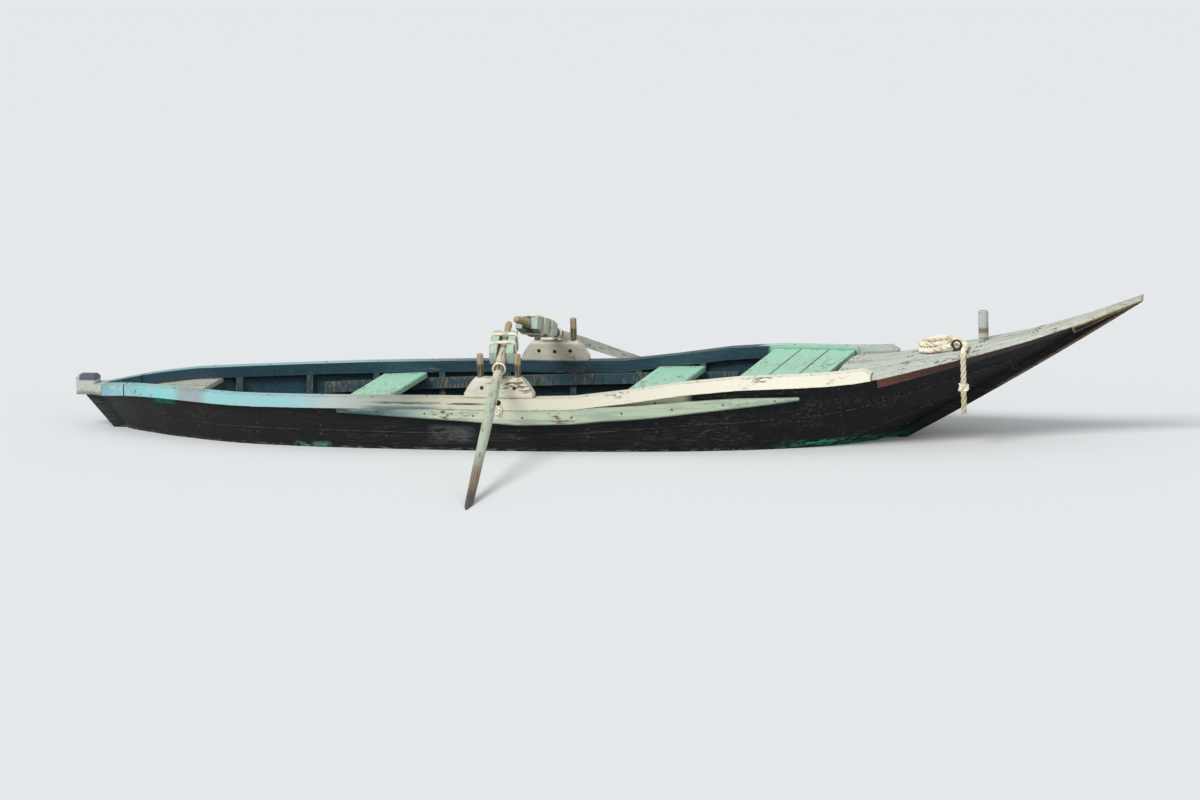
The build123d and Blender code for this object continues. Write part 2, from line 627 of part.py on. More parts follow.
# Thole chocks with their pins, on the rails
CHOCK_Y = sheer(THOLE_X)[0] + (RAIL_OUTSIDE - RAIL_INSIDE) / 2
CHOCK_CREST = rail_top(THOLE_X) + CHOCK_HEIGHT
CREST_RADIUS = CHOCK_WIDTH / 2 - 1
PIN_PLACES = [(THOLE_X + side * PIN_SPACING / 2, CHOCK_Y) for side in (-1, 1)]
base = stretch(THOLE_X - CHOCK_BASE / 2, THOLE_X + CHOCK_BASE / 2)
half_top = CHOCK_TOP / 2
with BuildPart() as chock:
    with BuildSketch(Plane.XZ.offset(-CHOCK_Y)):
        with BuildLine():
            Polyline(*[(x, rail_top(x) + FIT) for x in base],
                     (base[-1], rail_top(base[-1]) + CHOCK_TOE),
                     (THOLE_X + half_top + CHOCK_SHOULDER, CHOCK_CREST - CHOCK_SHOULDER),
                     (THOLE_X + half_top, CHOCK_CREST), (THOLE_X - half_top, CHOCK_CREST),
                     (THOLE_X - half_top - CHOCK_SHOULDER, CHOCK_CREST - CHOCK_SHOULDER),
                     (base[0], rail_top(base[0]) + CHOCK_TOE), close=True)
        make_face()
    extrude(amount=CHOCK_WIDTH / 2, both=True)
    crest = chock.faces().filter_by(Axis.Z).sort_by(Axis.Z)[-1].edges().filter_by(Axis.X)
    fillet(crest, CREST_RADIUS)
    with BuildSketch(Plane.XY.offset(CHOCK_CREST - PIN_SEAT)):
        with Locations(*PIN_PLACES):
            RegularPolygon(PIN_DIAMETER / 2 + FIT, PIN_SIDES)
    extrude(amount=PIN_SEAT + PIN_ABOVE, mode=Mode.SUBTRACT)
save_pair(chock.part, "thole_chock")

with BuildPart() as pins:
    with BuildSketch(Plane.XY.offset(CHOCK_CREST - PIN_SEAT + FIT)):
        with Locations(*PIN_PLACES):
            RegularPolygon(PIN_DIAMETER / 2, PIN_SIDES)
    extrude(amount=PIN_SEAT + PIN_ABOVE)
    chamfer(pins.faces().filter_by(Axis.Z).sort_by(Axis.Z)[-2:].edges(), PIN_CHAMFER)
save_pair(pins.part, "thole_pins")

# Rope strop round each oar: it stands on the chock and turns with the oar's sweep
strop_lean = radians(OAR_SLOPE - STROP_TILT)
seat = CREST_RADIUS + STROP_ROPE / 2 + STROP_SEAT
PIVOT_Z = (CHOCK_CREST - CREST_RADIUS + STROP_RADIUS * cos(strop_lean)
           + (seat ** 2 - (STROP_RADIUS * sin(strop_lean)) ** 2) ** 0.5)
PIVOT = (THOLE_X, CHOCK_Y, PIVOT_Z)
OUTBOARD = Vector(sin(radians(OAR_SWEEP)), cos(radians(OAR_SWEEP)))
with BuildPart() as strop:
    add(ring(Plane(PIVOT, x_dir=(OUTBOARD.Y, -OUTBOARD.X, 0), z_dir=OUTBOARD - Vector(0, 0, tan(strop_lean))),
             STROP_RADIUS, STROP_ROPE))
save_pair(strop.part, "strop")

# Oars: a shaft with the blade scarfed to its end, and two cheeks that balance it inboard
OAR_AXIS = OUTBOARD - Vector(0, 0, tan(radians(OAR_SLOPE)))
oar_plane = Plane(PIVOT, x_dir=(OUTBOARD.Y, -OUTBOARD.X, 0), z_dir=OAR_AXIS)
scarf = OAR_OUTBOARD - BLADE_LENGTH
with BuildPart() as oar:
    with BuildSketch(oar_plane.offset(-OAR_INBOARD)):
        Circle(SHAFT_DIAMETER / 2)
    extrude(amount=OAR_INBOARD + scarf - FIT)
    with BuildPart() as blade:
        for distance, spine in ((scarf, BLADE_SPINE), (OAR_OUTBOARD, BLADE)):
            with BuildSketch(oar_plane.offset(distance)):
                Rectangle(spine, spine)
        loft(ruled=True)
        with BuildSketch(oar_plane.offset(scarf)):
            Rectangle(BLADE, BLADE_ROOT)
        for distance in (OAR_OUTBOARD - BLADE_LENGTH / 2, OAR_OUTBOARD + BLADE_TIP):
            with BuildSketch(oar_plane.offset(distance)):
                Rectangle(BLADE, BLADE_WIDTH)
        loft(ruled=True)
save_pair(oar.part, "oar")

CHEEK_FAR = CHEEK_NEAR + CHEEK_LENGTH
with BuildPart() as cheeks:
    for side in (-1, 1):
        beside_shaft = Plane(PIVOT, x_dir=-OAR_AXIS, z_dir=side * oar_plane.x_dir)
        with BuildSketch(beside_shaft.offset(SHAFT_DIAMETER / 2 + FIT)):
            Polygon((CHEEK_NEAR, -CHEEK_END_DEPTH / 2), (CHEEK_NEAR + CHEEK_TAPER, -CHEEK_DEPTH / 2),
                    (CHEEK_FAR - CHEEK_TAPER, -CHEEK_DEPTH / 2), (CHEEK_FAR, -CHEEK_END_DEPTH / 2),
                    (CHEEK_FAR, CHEEK_END_DEPTH / 2), (CHEEK_FAR - CHEEK_TAPER, CHEEK_DEPTH / 2),
                    (CHEEK_NEAR + CHEEK_TAPER, CHEEK_DEPTH / 2), (CHEEK_NEAR, CHEEK_END_DEPTH / 2),
                    align=None)
        extrude(amount=CHEEK_THICKNESS)
save_pair(cheeks.part, "oar_cheeks")

# Post through the foredeck, on a beam, thinner where it goes through
post_foot = deck_crown(POST_X + BEAM_WIDTH / 2, FOREDECK_EDGES[3]) + FIT
with BuildPart() as post:
    with BuildSketch(Plane.XY.offset(post_foot)):
        with Locations((POST_X, 0)):
            Circle(POST_NECK / 2)
    extrude(amount=deck_top(POST_X) + POST_NECK_ABOVE - post_foot)
    with BuildSketch(Plane.XY.offset(deck_top(POST_X) + POST_NECK_ABOVE)):
        with Locations((POST_X, 0)):
            Circle(POST_DIAMETER / 2)
    extrude(amount=POST_ABOVE - POST_NECK_ABOVE)
    chamfer(post.faces().sort_by(Axis.Z)[-1].edges(), POST_CHAMFER)
save(post.part, "bow_post")

# Ring bolt on the foredeck
plate_plane = on_deck(RING_X, RING_Y, FIT)
with BuildPart() as ring_bolt:
    with BuildSketch(plate_plane):
        Circle(RING_PLATE / 2)
    extrude(amount=RING_PLATE_THICKNESS)
    eye = plate_plane.offset(RING_PLATE_THICKNESS + RING_RADIUS).origin
    add(ring(Plane(eye, x_dir=(1, 0, 0), z_dir=(0, 1, 0)), RING_RADIUS, RING_ROD))
save(ring_bolt.part, "ring_bolt")

# Bow rope: from the ring to its coil, and from there over the starboard edge and down past a knot
edge_y = -sheer(ROPE_X)[0] - DECK_OVERHANG
edge_z = deck_top(ROPE_X, edge_y)
LEAD_POINTS = [(RING_X + dx, y, deck_top(RING_X + dx, y) + dz) for dx, y, dz in LEAD]
ROPE_POINTS = [(ROPE_X + dx, y, deck_top(ROPE_X + dx, y) + dz) for dx, y, dz in ON_DECK]
ROPE_POINTS += [(ROPE_X + dx, edge_y - dy, edge_z + dz) for dx, dy, dz in DOWN_SIDE]


def rope(points):
    """Tube of rope along its route, with an arc at each corner as large as its runs allow."""
    runs = [Vector(*b) - Vector(*a) for a, b in zip(points, points[1:])]
    radii = [ARC_SHARE * min(a.length, b.length) / tan(radians(a.get_angle(b)) / 2)
             for a, b in zip(runs, runs[1:])]
    with BuildPart() as tube:
        with BuildLine() as route:
            FilletPolyline(*points, radius=radii)
        with BuildSketch(Plane(route.line @ 0, z_dir=route.line % 0)) as cut:
            RegularPolygon(ROPE_DIAMETER / 2, ROPE_SIDES)
        sweep()
    length = route.wires()[0].length
    print("rope radii", [round(radius) for radius in radii], "length", length,
          "volume", tube.part.volume, "section times length", cut.sketch.area * length)
    print("rope points", [tuple(round(c, 1) for c in point) for point in points])
    return tube.part


with BuildPart() as bow_rope:
    add(rope(LEAD_POINTS))
    add(rope(ROPE_POINTS))
save(bow_rope.part, "bow_rope")

with BuildPart() as knot:
    knot_x, knot_y, knot_z = ROPE_POINTS[KNOT_POINT]
    with BuildSketch(Plane.XY.offset(knot_z - KNOT_LENGTH / 2)):
        with Locations((knot_x, knot_y)):
            RegularPolygon(KNOT_DIAMETER / 2, KNOT_SIDES)
    extrude(amount=KNOT_LENGTH)
    ends = knot.faces().filter_by(Axis.Z)
    chamfer(ends.edges(), KNOT_CHAMFER)
    add(bow_rope.part, mode=Mode.SUBTRACT)
save(knot.part, "rope_knot")

with BuildPart() as coil:
    with BuildSketch(on_deck(COIL_X, COIL_Y, FIT)):
        RegularPolygon(COIL_RADIUS, COIL_SIDES)
    extrude(amount=COIL_HEIGHT)
    rims = coil.faces().sort_by(Axis.Z)
    chamfer(rims[-1].edges() + rims[0].edges(), COIL_CHAMFER)
    add(bow_rope.part, mode=Mode.SUBTRACT)
save(coil.part, "rope_coil")

print("pivot", PIVOT, "outboard", OUTBOARD, "oar axis", OAR_AXIS.normalized(), "crest", CHOCK_CREST)
print("keel", KEEL_AFT, KEEL_FORE, "stem turn", STEM_TURN, "radius", STEM_RADIUS)
print("post wall", deck_top(POST_X) + POST_NECK_ABOVE, deck_top(POST_X) + POST_ABOVE - POST_CHAMFER)
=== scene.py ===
"""How a small planked rowing boat looks: timber, tar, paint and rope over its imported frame."""
from math import cos, exp, pi, radians, sin
from statistics import NormalDist

import bmesh
import bpy
from mathutils import Matrix, Vector
from mathutils.bvhtree import BVHTree


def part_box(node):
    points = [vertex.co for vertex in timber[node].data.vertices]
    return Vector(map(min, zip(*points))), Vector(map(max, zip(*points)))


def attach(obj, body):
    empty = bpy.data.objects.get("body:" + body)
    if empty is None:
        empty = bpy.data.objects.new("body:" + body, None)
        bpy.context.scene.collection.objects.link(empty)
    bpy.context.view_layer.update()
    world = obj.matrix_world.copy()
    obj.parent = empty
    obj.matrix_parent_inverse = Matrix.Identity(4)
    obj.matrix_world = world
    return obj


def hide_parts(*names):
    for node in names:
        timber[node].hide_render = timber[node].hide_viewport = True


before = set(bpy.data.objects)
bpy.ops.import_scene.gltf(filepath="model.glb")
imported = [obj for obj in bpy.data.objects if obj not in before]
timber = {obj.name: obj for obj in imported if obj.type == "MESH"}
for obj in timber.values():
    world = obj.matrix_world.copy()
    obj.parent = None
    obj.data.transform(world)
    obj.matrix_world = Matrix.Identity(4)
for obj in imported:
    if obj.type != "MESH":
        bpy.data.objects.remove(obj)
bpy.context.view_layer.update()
SIDES = (("port", 1), ("starboard", -1))


# Backbone and planking: pitch pine strakes on an oak keel, stem and sternpost.
# Stockholm tar is brushed on hot outside, and old slate blue paint covers the inside.
# The tar gives a near black satin skin, with streaks along the run of the brush.
def linear(code):
    """The linear colour that a shader takes, from an sRGB hex value."""
    shares = [int(code[i:i + 2], 16) / 255 for i in (1, 3, 5)]
    return (*[s / 12.92 if s <= 0.04045 else ((s + 0.055) / 1.055) ** 2.4 for s in shares], 1)


def add(tree, kind, inputs=None, **settings):
    """Adds a shader node with its settings, and sets or links its inputs."""
    made = tree.nodes.new("ShaderNode" + kind)
    for name, value in settings.items():
        setattr(made, name, value)
    for key, value in (inputs or {}).items():
        if isinstance(value, bpy.types.NodeSocket):
            tree.links.new(value, made.inputs[key])
        else:
            made.inputs[key].default_value = value
    return made


def new_finish(name, **uniform):
    """A material with its node tree and shader, and the numbers that are the same all over it."""
    made = bpy.data.materials.new(name)
    made.use_nodes = True
    shader = made.node_tree.nodes["Principled BSDF"]
    for socket, value in uniform.items():
        shader.inputs[socket.replace("_", " ")].default_value = value
    return made, made.node_tree, shader


def streaks(tree, run, width, length):
    """Grain or brush marks of that width and length in metres, along one axis."""
    place = add(tree, "TexCoord").outputs["Object"]
    scale = [1 / width] * 3
    scale["xyz".index(run)] = 1 / length
    drawn = add(tree, "VectorMath", {0: place, 1: scale}, operation="MULTIPLY").outputs[0]
    return add(tree, "TexNoise", {"Vector": drawn, "Scale": 1, "Detail": 3,
                                  "Roughness": 0.6}).outputs["Fac"]


# How the values of a noise pattern spread about their middle
NOISE_VALUES = NormalDist(0.5, 0.11)


def share_of(tree, pattern, share, fade=0.03):
    """1 on that share of a pattern, with soft edges, and 0 on the rest."""
    edge = NOISE_VALUES.inv_cdf(1 - share)
    return add(tree, "MapRange", {"Value": pattern, "From Min": edge - fade,
                                  "From Max": edge + fade}).outputs[0]


def both(tree, first, *others):
    """1 only where every mask is 1."""
    for other in others:
        first = add(tree, "Math", {0: first, 1: other}, operation="MULTIPLY").outputs[0]
    return first


def within(tree, axis, low, high, fade):
    """1 between two places along an axis, and 0 beyond the fade on each side."""
    place = add(tree, "SeparateXYZ", {0: add(tree, "TexCoord").outputs["Object"]}).outputs[axis]
    away = add(tree, "Math", {0: place, 1: (low + high) / 2}, operation="SUBTRACT").outputs[0]
    away = add(tree, "Math", {0: away}, operation="ABSOLUTE").outputs[0]
    half = (high - low) / 2
    return add(tree, "MapRange", {"Value": away, "From Min": half, "From Max": half + fade,
                                  "To Min": 1, "To Max": 0}).outputs[0]


# How far a rounded edge's normal agrees with the flat one, where wear starts and where it is full
WEAR_STARTS, WEAR_FULL = 0.985, 0.85


def rubbed(tree, rounding):
    """1 on edges that use has rubbed through, 0 on the flat."""
    soft = add(tree, "Bevel", {"Radius": rounding}, samples=4).outputs[0]
    flat = add(tree, "NewGeometry").outputs["Normal"]
    turned = add(tree, "VectorMath", {0: soft, 1: flat}, operation="DOT_PRODUCT").outputs["Value"]
    return add(tree, "MapRange", {"Value": turned, "From Min": WEAR_STARTS,
                                  "From Max": WEAR_FULL}).outputs[0]


# How much looking up counts against looking inboard, and how softly the change is made
UPWARD_SHARE, TURN_FADE = 0.3, 0.05


def inboard(tree, least):
    """1 on faces that look to the middle of the boat or up by more than a least amount."""
    look = add(tree, "SeparateXYZ", {0: add(tree, "NewGeometry").outputs["Normal"]})
    place = add(tree, "SeparateXYZ", {0: add(tree, "TexCoord").outputs["Object"]}).outputs["Y"]
    side = add(tree, "Math", {0: place}, operation="SIGN").outputs[0]
    out = add(tree, "Math", {0: look.outputs["Y"], 1: side}, operation="MULTIPLY").outputs[0]
    lift = add(tree, "Math", {0: look.outputs["Z"], 1: UPWARD_SHARE},
               operation="MULTIPLY").outputs[0]
    turned = add(tree, "Math", {0: lift, 1: out}, operation="SUBTRACT").outputs[0]
    return add(tree, "MapRange", {"Value": turned, "From Min": least,
                                  "From Max": least + TURN_FADE}).outputs[0]


def coat(tree, under, over, *masks):
    """One colour laid over another where every mask is 1."""
    colours = [linear(c) if isinstance(c, str) else c for c in (under, over)]
    return add(tree, "Mix", {0: both(tree, *masks), 6: colours[0], 7: colours[1]},
               data_type="RGBA").outputs[2]


def lengthwise(tree, *stops):
    """A colour that changes along the boat, from pairs of x and colour."""
    place = add(tree, "SeparateXYZ", {0: add(tree, "TexCoord").outputs["Object"]}).outputs["X"]
    low, high = stops[0][0], stops[-1][0]
    share = add(tree, "MapRange", {"Value": place, "From Min": low, "From Max": high}).outputs[0]
    mixed = add(tree, "ValToRGB", {0: share})
    for i, (x, code) in enumerate(stops):
        spot = (x - low) / (high - low)
        stop = mixed.color_ramp.elements[i] if i < 2 else mixed.color_ramp.elements.new(spot)
        stop.position = spot
        stop.color = linear(code)
    return mixed.outputs["Color"]


# Sawn and planed edges are rounded by about this much, in metres
EDGE_ROUNDING = 0.0025


def finish_off(tree, shader, tone, grain, bare, grain_depth, film, sound, raw):
    """Links colour, the relief of the grain and of the worn film, and roughness to the shader."""
    tree.links.new(tone, shader.inputs["Base Color"])
    edges = add(tree, "Bevel", {"Radius": EDGE_ROUNDING}, samples=4).outputs[0]
    relief = add(tree, "Bump", {"Height": grain, "Distance": grain_depth,
                                "Normal": edges}).outputs[0]
    relief = add(tree, "Bump", {"Height": bare, "Distance": film, "Normal": relief},
                 invert=True).outputs[0]
    tree.links.new(relief, shader.inputs["Normal"])
    matt = add(tree, "MapRange", {"Value": bare, "To Min": sound, "To Max": raw}).outputs[0]
    tree.links.new(matt, shader.inputs["Roughness"])


def dress(material, *names):
    """Gives CAD nodes their finish; a name that ends in _ stands for both sides of the boat."""
    for name in names:
        for full in [name + side for side, sign in SIDES] if name.endswith("_") else [name]:
            timber[full].material_slots[0].material = material


def tar_coat(tree):
    """Colour, brush marks and dry scuffs of the tar: browner aft, bluer towards the bow."""
    # Brush marks 6 mm wide, drawn twice their real width; scuffs 8 by 120 mm in patches of
    # 100 by 400 mm, flakes 20 by 50 mm, and pale grey dashes along the waterline 8 by 60 mm
    brush = streaks(tree, "x", 0.006, 0.3)
    scuffs = both(tree, share_of(tree, streaks(tree, "x", 0.008, 0.12), 0.3),
                  share_of(tree, streaks(tree, "x", 0.1, 0.4), 0.3, 0.06))
    flakes = streaks(tree, "x", 0.02, 0.05)
    tone = lengthwise(tree, (-2.75, "#414c4c"), (-2.35, "#252322"), (-1.3, "#1a1a1a"),
                      (0, "#131516"), (1.2, "#0e1315"), (2.75, "#070a0d"))
    tone = coat(tree, tone, "#232324", share_of(tree, brush, 0.35, 0.12))
    tone = coat(tree, tone, "#383531", scuffs)
    # Scraped grey below the oar, then green of an older coat forward and aft, near the waterline
    tone = coat(tree, tone, "#4b4c4d", share_of(tree, flakes, 0.6, 0.08),
                within(tree, "X", -0.70, -0.55, 0.06), within(tree, "Z", 0.06, 0.11, 0.03))
    tone = coat(tree, tone, "#14624a", share_of(tree, flakes, 0.6),
                within(tree, "X", 1.1, 1.5, 0.15), within(tree, "Z", -0.05, 0.02, 0.03))
    tone = coat(tree, tone, "#1f8a63", share_of(tree, flakes, 0.35),
                within(tree, "X", 1.15, 1.35, 0.1), within(tree, "Z", -0.05, 0.035, 0.01))
    tone = coat(tree, tone, "#44806a", share_of(tree, flakes, 0.5),
                within(tree, "X", -1.42, -1.28, 0.04), within(tree, "Z", -0.05, 0.015, 0.02))
    tone = coat(tree, tone, "#5d6356", share_of(tree, streaks(tree, "x", 0.008, 0.06), 0.3),
                within(tree, "Z", -0.03, 0.008, 0.008))
    return tone, brush, scuffs


# Weathered tar reflects little, so its gloss stays broad and dull. Its relief is in metres, and
# its roughness is that of sound tar and of scuffs.
TAR_SHEEN = {"Specular_IOR_Level": 0.12}
TAR_RELIEF = {"grain_depth": 0.001, "film": 0.0004, "sound": 0.42, "raw": 0.7}
tar, tree, shader = new_finish("Stockholm tar on oak", **TAR_SHEEN)
tone, brush, scuffs = tar_coat(tree)
tone = coat(tree, tone, "#5d4f41", share_of(tree, brush, 0.5), rubbed(tree, 0.008))
finish_off(tree, shader, tone, brush, scuffs, **TAR_RELIEF)
dress(tar, "keel", "sternpost")

stem_tar, tree, shader = new_finish("Tar worn off the edge of an oak stem", **TAR_SHEEN)
tone, brush, scuffs = tar_coat(tree)
worn = both(tree, rubbed(tree, 0.03), within(tree, "X", 2.1, 2.8, 0.15))
tone = coat(tree, tone, "#a08868", share_of(tree, brush, 0.8), worn)
finish_off(tree, shader, tone, brush, scuffs, **TAR_RELIEF)
dress(stem_tar, "stem", "stem_head_")

plank_skin, tree, shader = new_finish("Tar outside and slate blue paint inside, on pine",
                                      **TAR_SHEEN)
tone, brush, scuffs = tar_coat(tree)
# A dab of deep green under the rail, near the stern
tone = coat(tree, tone, "#0d6350", within(tree, "X", -2.24, -2.14, 0.03),
            within(tree, "Z", 0.178, 0.23, 0.006), within(tree, "Y", -0.6, 0, 0.01))
# The pale coat that ran down from the rail, in the narrow end of the space under it
tone = coat(tree, tone, "#b5b69c", within(tree, "X", 0.1, 0.55, 0.05),
            within(tree, "Z", 0.22, 0.3, 0.01), within(tree, "Y", -0.7, 0, 0.01))
blue = coat(tree, "#33535f", "#27414c", share_of(tree, brush, 0.5, 0.1))
blue = coat(tree, blue, "#6d6352", scuffs, share_of(tree, brush, 0.5))
blue = coat(tree, blue, "#2b2c28", within(tree, "Z", -0.3, -0.04, 0.06))
tone = coat(tree, tone, blue, inboard(tree, 0))
finish_off(tree, shader, tone, brush, scuffs, **TAR_RELIEF)
STRAKES = ("garboard_", "bilge_strake_", "side_strake_", "sheer_strake_")
dress(plank_skin, *STRAKES)


# Fastenings of the planking: a clenched iron nail near each edge of a strake at every frame.
# Their low heads are tarred over and rust through, and ridges of pitch fill the seams.
def cut_across(name, x):
    """The points where a timber's edges cross a plane at x."""
    cut = []
    points = timber[name].data.vertices
    for edge in timber[name].data.edges:
        a, b = (points[i].co for i in edge.vertices)
        if (a.x < x) != (b.x < x):
            cut.append(a.lerp(b, (x - a.x) / (b.x - a.x)))
    return cut


def outer_edges(name, x):
    """Lower and upper outer corner of a plank or strip at x, and the way its outside faces."""
    cut = cut_across(name, x)
    middle = sum(cut, Vector()) / len(cut)
    side = 1 if middle.y > 0 else -1
    far = max(cut, key=lambda p: (p - middle).length)
    run = (far - middle).normalized()
    run = run if run.z + run.y * side > 0 else -run
    out = Vector((0, run.z * side, -run.y * side))
    spread = max(abs((p - middle).dot(out)) for p in cut)
    reach = max(abs((p - middle).dot(run)) for p in cut)

    def nearness(p, way):
        """How near a point is to the outer corner on that side."""
        return way * (p - middle).dot(run) / reach + (p - middle).dot(out) / spread

    return [max(cut, key=lambda p: nearness(p, way)) for way in (-1, 1)] + [out]


def rings_joined(base, count, sides, closed=False):
    """Faces between neighbouring rings of points, the first of which starts at base."""
    return [(base + i * sides + k, base + i * sides + (k + 1) % sides,
             base + (i + 1) % count * sides + (k + 1) % sides, base + (i + 1) % count * sides + k)
            for i in range(count if closed else count - 1) for k in range(sides)]


def ends_of(base, count, sides):
    """The two end faces of a row of rings."""
    last = base + (count - 1) * sides
    return [tuple(range(base, base + sides))[::-1], tuple(range(last, last + sides))]


def new_piece(name, points, faces, material, body="hull", slot=None, smooth=True):
    """A mesh piece with one finish that rides on a body."""
    mesh = bpy.data.meshes.new(name)
    mesh.from_pydata([tuple(p) for p in points], [], faces)
    mesh.materials.append(material)
    mesh.shade_smooth() if smooth else mesh.shade_flat()
    made = bpy.data.objects.new(name, mesh)
    bpy.context.scene.collection.objects.link(made)
    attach(made, body)
    return made


# Rings of a head, as shares of its radius and its rise; it starts a little inside the timber
HEAD_RINGS = ((1, -0.3), (0.95, 0.45), (0.6, 0.85))
HEAD_SIDES = 8


def heads(name, places, radius, rise, material, slot):
    """Low domed nail heads at (place, the way it faces)."""
    points, faces = [], []
    for place, out in places:
        turn = out.to_track_quat("Z", "Y").to_matrix()
        base = len(points)
        for share, height in HEAD_RINGS:
            for k in range(HEAD_SIDES):
                angle = 2 * pi * k / HEAD_SIDES
                spot = Vector((share * radius * cos(angle), share * radius * sin(angle),
                               height * rise))
                points.append(place + turn @ spot)
        points.append(place + turn @ Vector((0, 0, rise)))
        faces += rings_joined(base, len(HEAD_RINGS), HEAD_SIDES)
        top = base + (len(HEAD_RINGS) - 1) * HEAD_SIDES
        faces += [(top + k, top + (k + 1) % HEAD_SIDES, top + HEAD_SIDES)
                  for k in range(HEAD_SIDES)]
        faces.append([base + k for k in reversed(range(HEAD_SIDES))])
    return new_piece(name, points, faces, material, slot=slot)


def tube(line, radius, sides):
    """Points and faces of a tube along a line, closed at both ends."""
    points = []
    for i, here in enumerate(line):
        ahead, behind = line[min(i + 1, len(line) - 1)], line[max(i - 1, 0)]
        turn = (ahead - behind).to_track_quat("Z", "Y").to_matrix()
        for k in range(sides):
            angle = 2 * pi * k / sides
            points.append(here + turn @ Vector((radius * cos(angle), radius * sin(angle), 0)))
    return points, rings_joined(0, len(line), sides) + ends_of(0, len(line), sides)


# Crust in grains of 4 mm, which gives the eye brown specks on the dark heads
iron, tree, shader = new_finish("Rusted wrought iron", Metallic=0.1)
crust = streaks(tree, "z", 0.004, 0.004)
rust = share_of(tree, crust, 0.4)
tone = coat(tree, "#2a211d", "#553725", rust)
finish_off(tree, shader, tone, crust, rust, grain_depth=0.0006, film=0.0002, sound=0.55, raw=0.85)
# Ten frames stand at even steps between stations of a boat that is divided into twenty
LENGTH, STATIONS, FIRST_FRAME, FRAME_STEP, FRAMES = 5.5, 20, 2.75, 1.25, 10
FRAME_PLACES = [LENGTH * ((FIRST_FRAME + FRAME_STEP * k) / STATIONS - 0.5) for k in range(FRAMES)]
# Nails between the last frames and the ends, kept clear of a strake's tips
END_PLACES, TIP_CLEARANCE = (-2.4, -2.2, 1.3, 1.5, 1.7, 1.9, 2.1, 2.3), 0.1
NAIL_INSET, NAIL_RADIUS, NAIL_RISE = 0.022, 0.007, 0.002
SEAM_STEPS, SEAM_END, SEAM_RADIUS, SEAM_SIDES = 60, 0.02, 0.0035, 6
driven, seams = [], []
for side, sign in SIDES:
    for strake in STRAKES:
        name = strake + side
        low_x, high_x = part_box(name)[0].x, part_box(name)[1].x
        extra = [x for x in END_PLACES if low_x + TIP_CLEARANCE < x < high_x - TIP_CLEARANCE]
        for x in [x for x in FRAME_PLACES if low_x < x < high_x] + extra:
            low, high, out = outer_edges(name, x)
            across = (high - low).normalized()
            if (high - low).length > 3 * NAIL_INSET:
                driven += [(low + across * NAIL_INSET, out), (high - across * NAIL_INSET, out)]
        if strake != STRAKES[-1]:
            run = high_x - low_x - 2 * SEAM_END
            seams.append([outer_edges(name, low_x + SEAM_END + run * k / SEAM_STEPS)[1]
                          for k in range(SEAM_STEPS + 1)])
heads("hull_nails", driven, NAIL_RADIUS, NAIL_RISE, iron, "iron")
points, faces = [], []
for line in seams:
    more, skin = tube(line, SEAM_RADIUS, SEAM_SIDES)
    faces += [[i + len(points) for i in face] for face in skin]
    points += more
new_piece("seam_pitch", points, faces, tar, slot="black_tar")


# Frames, risers and deck beams: sawn larch, under the same slate blue paint as the inside.
# The paint is worn off the edges, and the floorboards are bare wood, walked on and wet.
CHIPS_IN_CLUSTER = 0.35


def painted(name, run, coats, wood="#85775f", chipped=0.1, worn=0.006, grime_and_shade="#5b5344", gloss=0.45):
    """Oil paint on wood: sound coats, chips in clusters, rubbed edges, corner dirt and painted
    shade.
    """
    made, tree, shader = new_finish(name, Specular_IOR_Level=0.3)
    # Grain 6 mm wide, and chips of 10 by 35 mm, both as coarse as they need to show
    grain = streaks(tree, run, 0.006, 0.3)
    tone = coats(tree, grain)
    fine = streaks(tree, run, 0.010, 0.035)
    clusters = share_of(tree, streaks(tree, run, 0.1, 0.3), chipped / CHIPS_IN_CLUSTER, 0.05)
    chips = both(tree, share_of(tree, fine, CHIPS_IN_CLUSTER), clusters)
    edges = both(tree, share_of(tree, fine, 0.55, 0.06), rubbed(tree, worn))
    bare = add(tree, "Math", {0: chips, 1: edges}, operation="MAXIMUM").outputs[0]
    raw = coat(tree, wood, "#6a5c48", share_of(tree, grain, 0.5, 0.08))
    tone = coat(tree, tone, raw, bare)
    # Corners that light and the brush hardly reach are darkened, both dirt and painted shade
    open_to = add(tree, "AmbientOcclusion", {"Distance": 0.03}, samples=4).outputs["AO"]
    corner = add(tree, "MapRange", {"Value": open_to, "From Min": 0.7, "From Max": 0.4,
                                    "To Max": 0.75}).outputs[0]
    tone = coat(tree, tone, grime_and_shade, corner)
    finish_off(tree, shader, tone, grain, bare, grain_depth=0.0006, film=0.0005, sound=gloss,
               raw=0.82)
    return made


def slate_coats(tree, grain):
    """Slate blue, faded in streaks."""
    return coat(tree, "#36555f", "#2a434c", share_of(tree, grain, 0.4, 0.1))


slate = painted("Slate blue oil paint on larch", "z", slate_coats, chipped=0.18, worn=0.01)
dress(slate, "futtocks_", "riser_", "foredeck_beams", "aft_deck_beams", "bench_ledgers")

# Grain 5 mm wide, as coarse as it needs to show, and damp patches of 120 by 250 mm
floor_wood, tree, shader = new_finish("Bare larch, walked on and wet")
grain = streaks(tree, "x", 0.005, 0.3)
damp = share_of(tree, streaks(tree, "x", 0.12, 0.25), 0.4, 0.05)
tone = coat(tree, "#857660", "#5f5343", share_of(tree, grain, 0.45, 0.06))
tone = coat(tree, tone, "#463d32", damp)
tone = coat(tree, tone, "#9a8c74", share_of(tree, grain, 0.6), rubbed(tree, 0.006))
finish_off(tree, shader, tone, grain, damp, grain_depth=0.0012, film=0, sound=0.8, raw=0.4)
dress(floor_wood, "floorboards", "floor_timbers")

skins = {name: BVHTree.FromObject(piece, bpy.context.evaluated_depsgraph_get())
         for name, piece in timber.items()}


# A height over every piece, in metres, from which tops are sought
ABOVE_ALL = 2


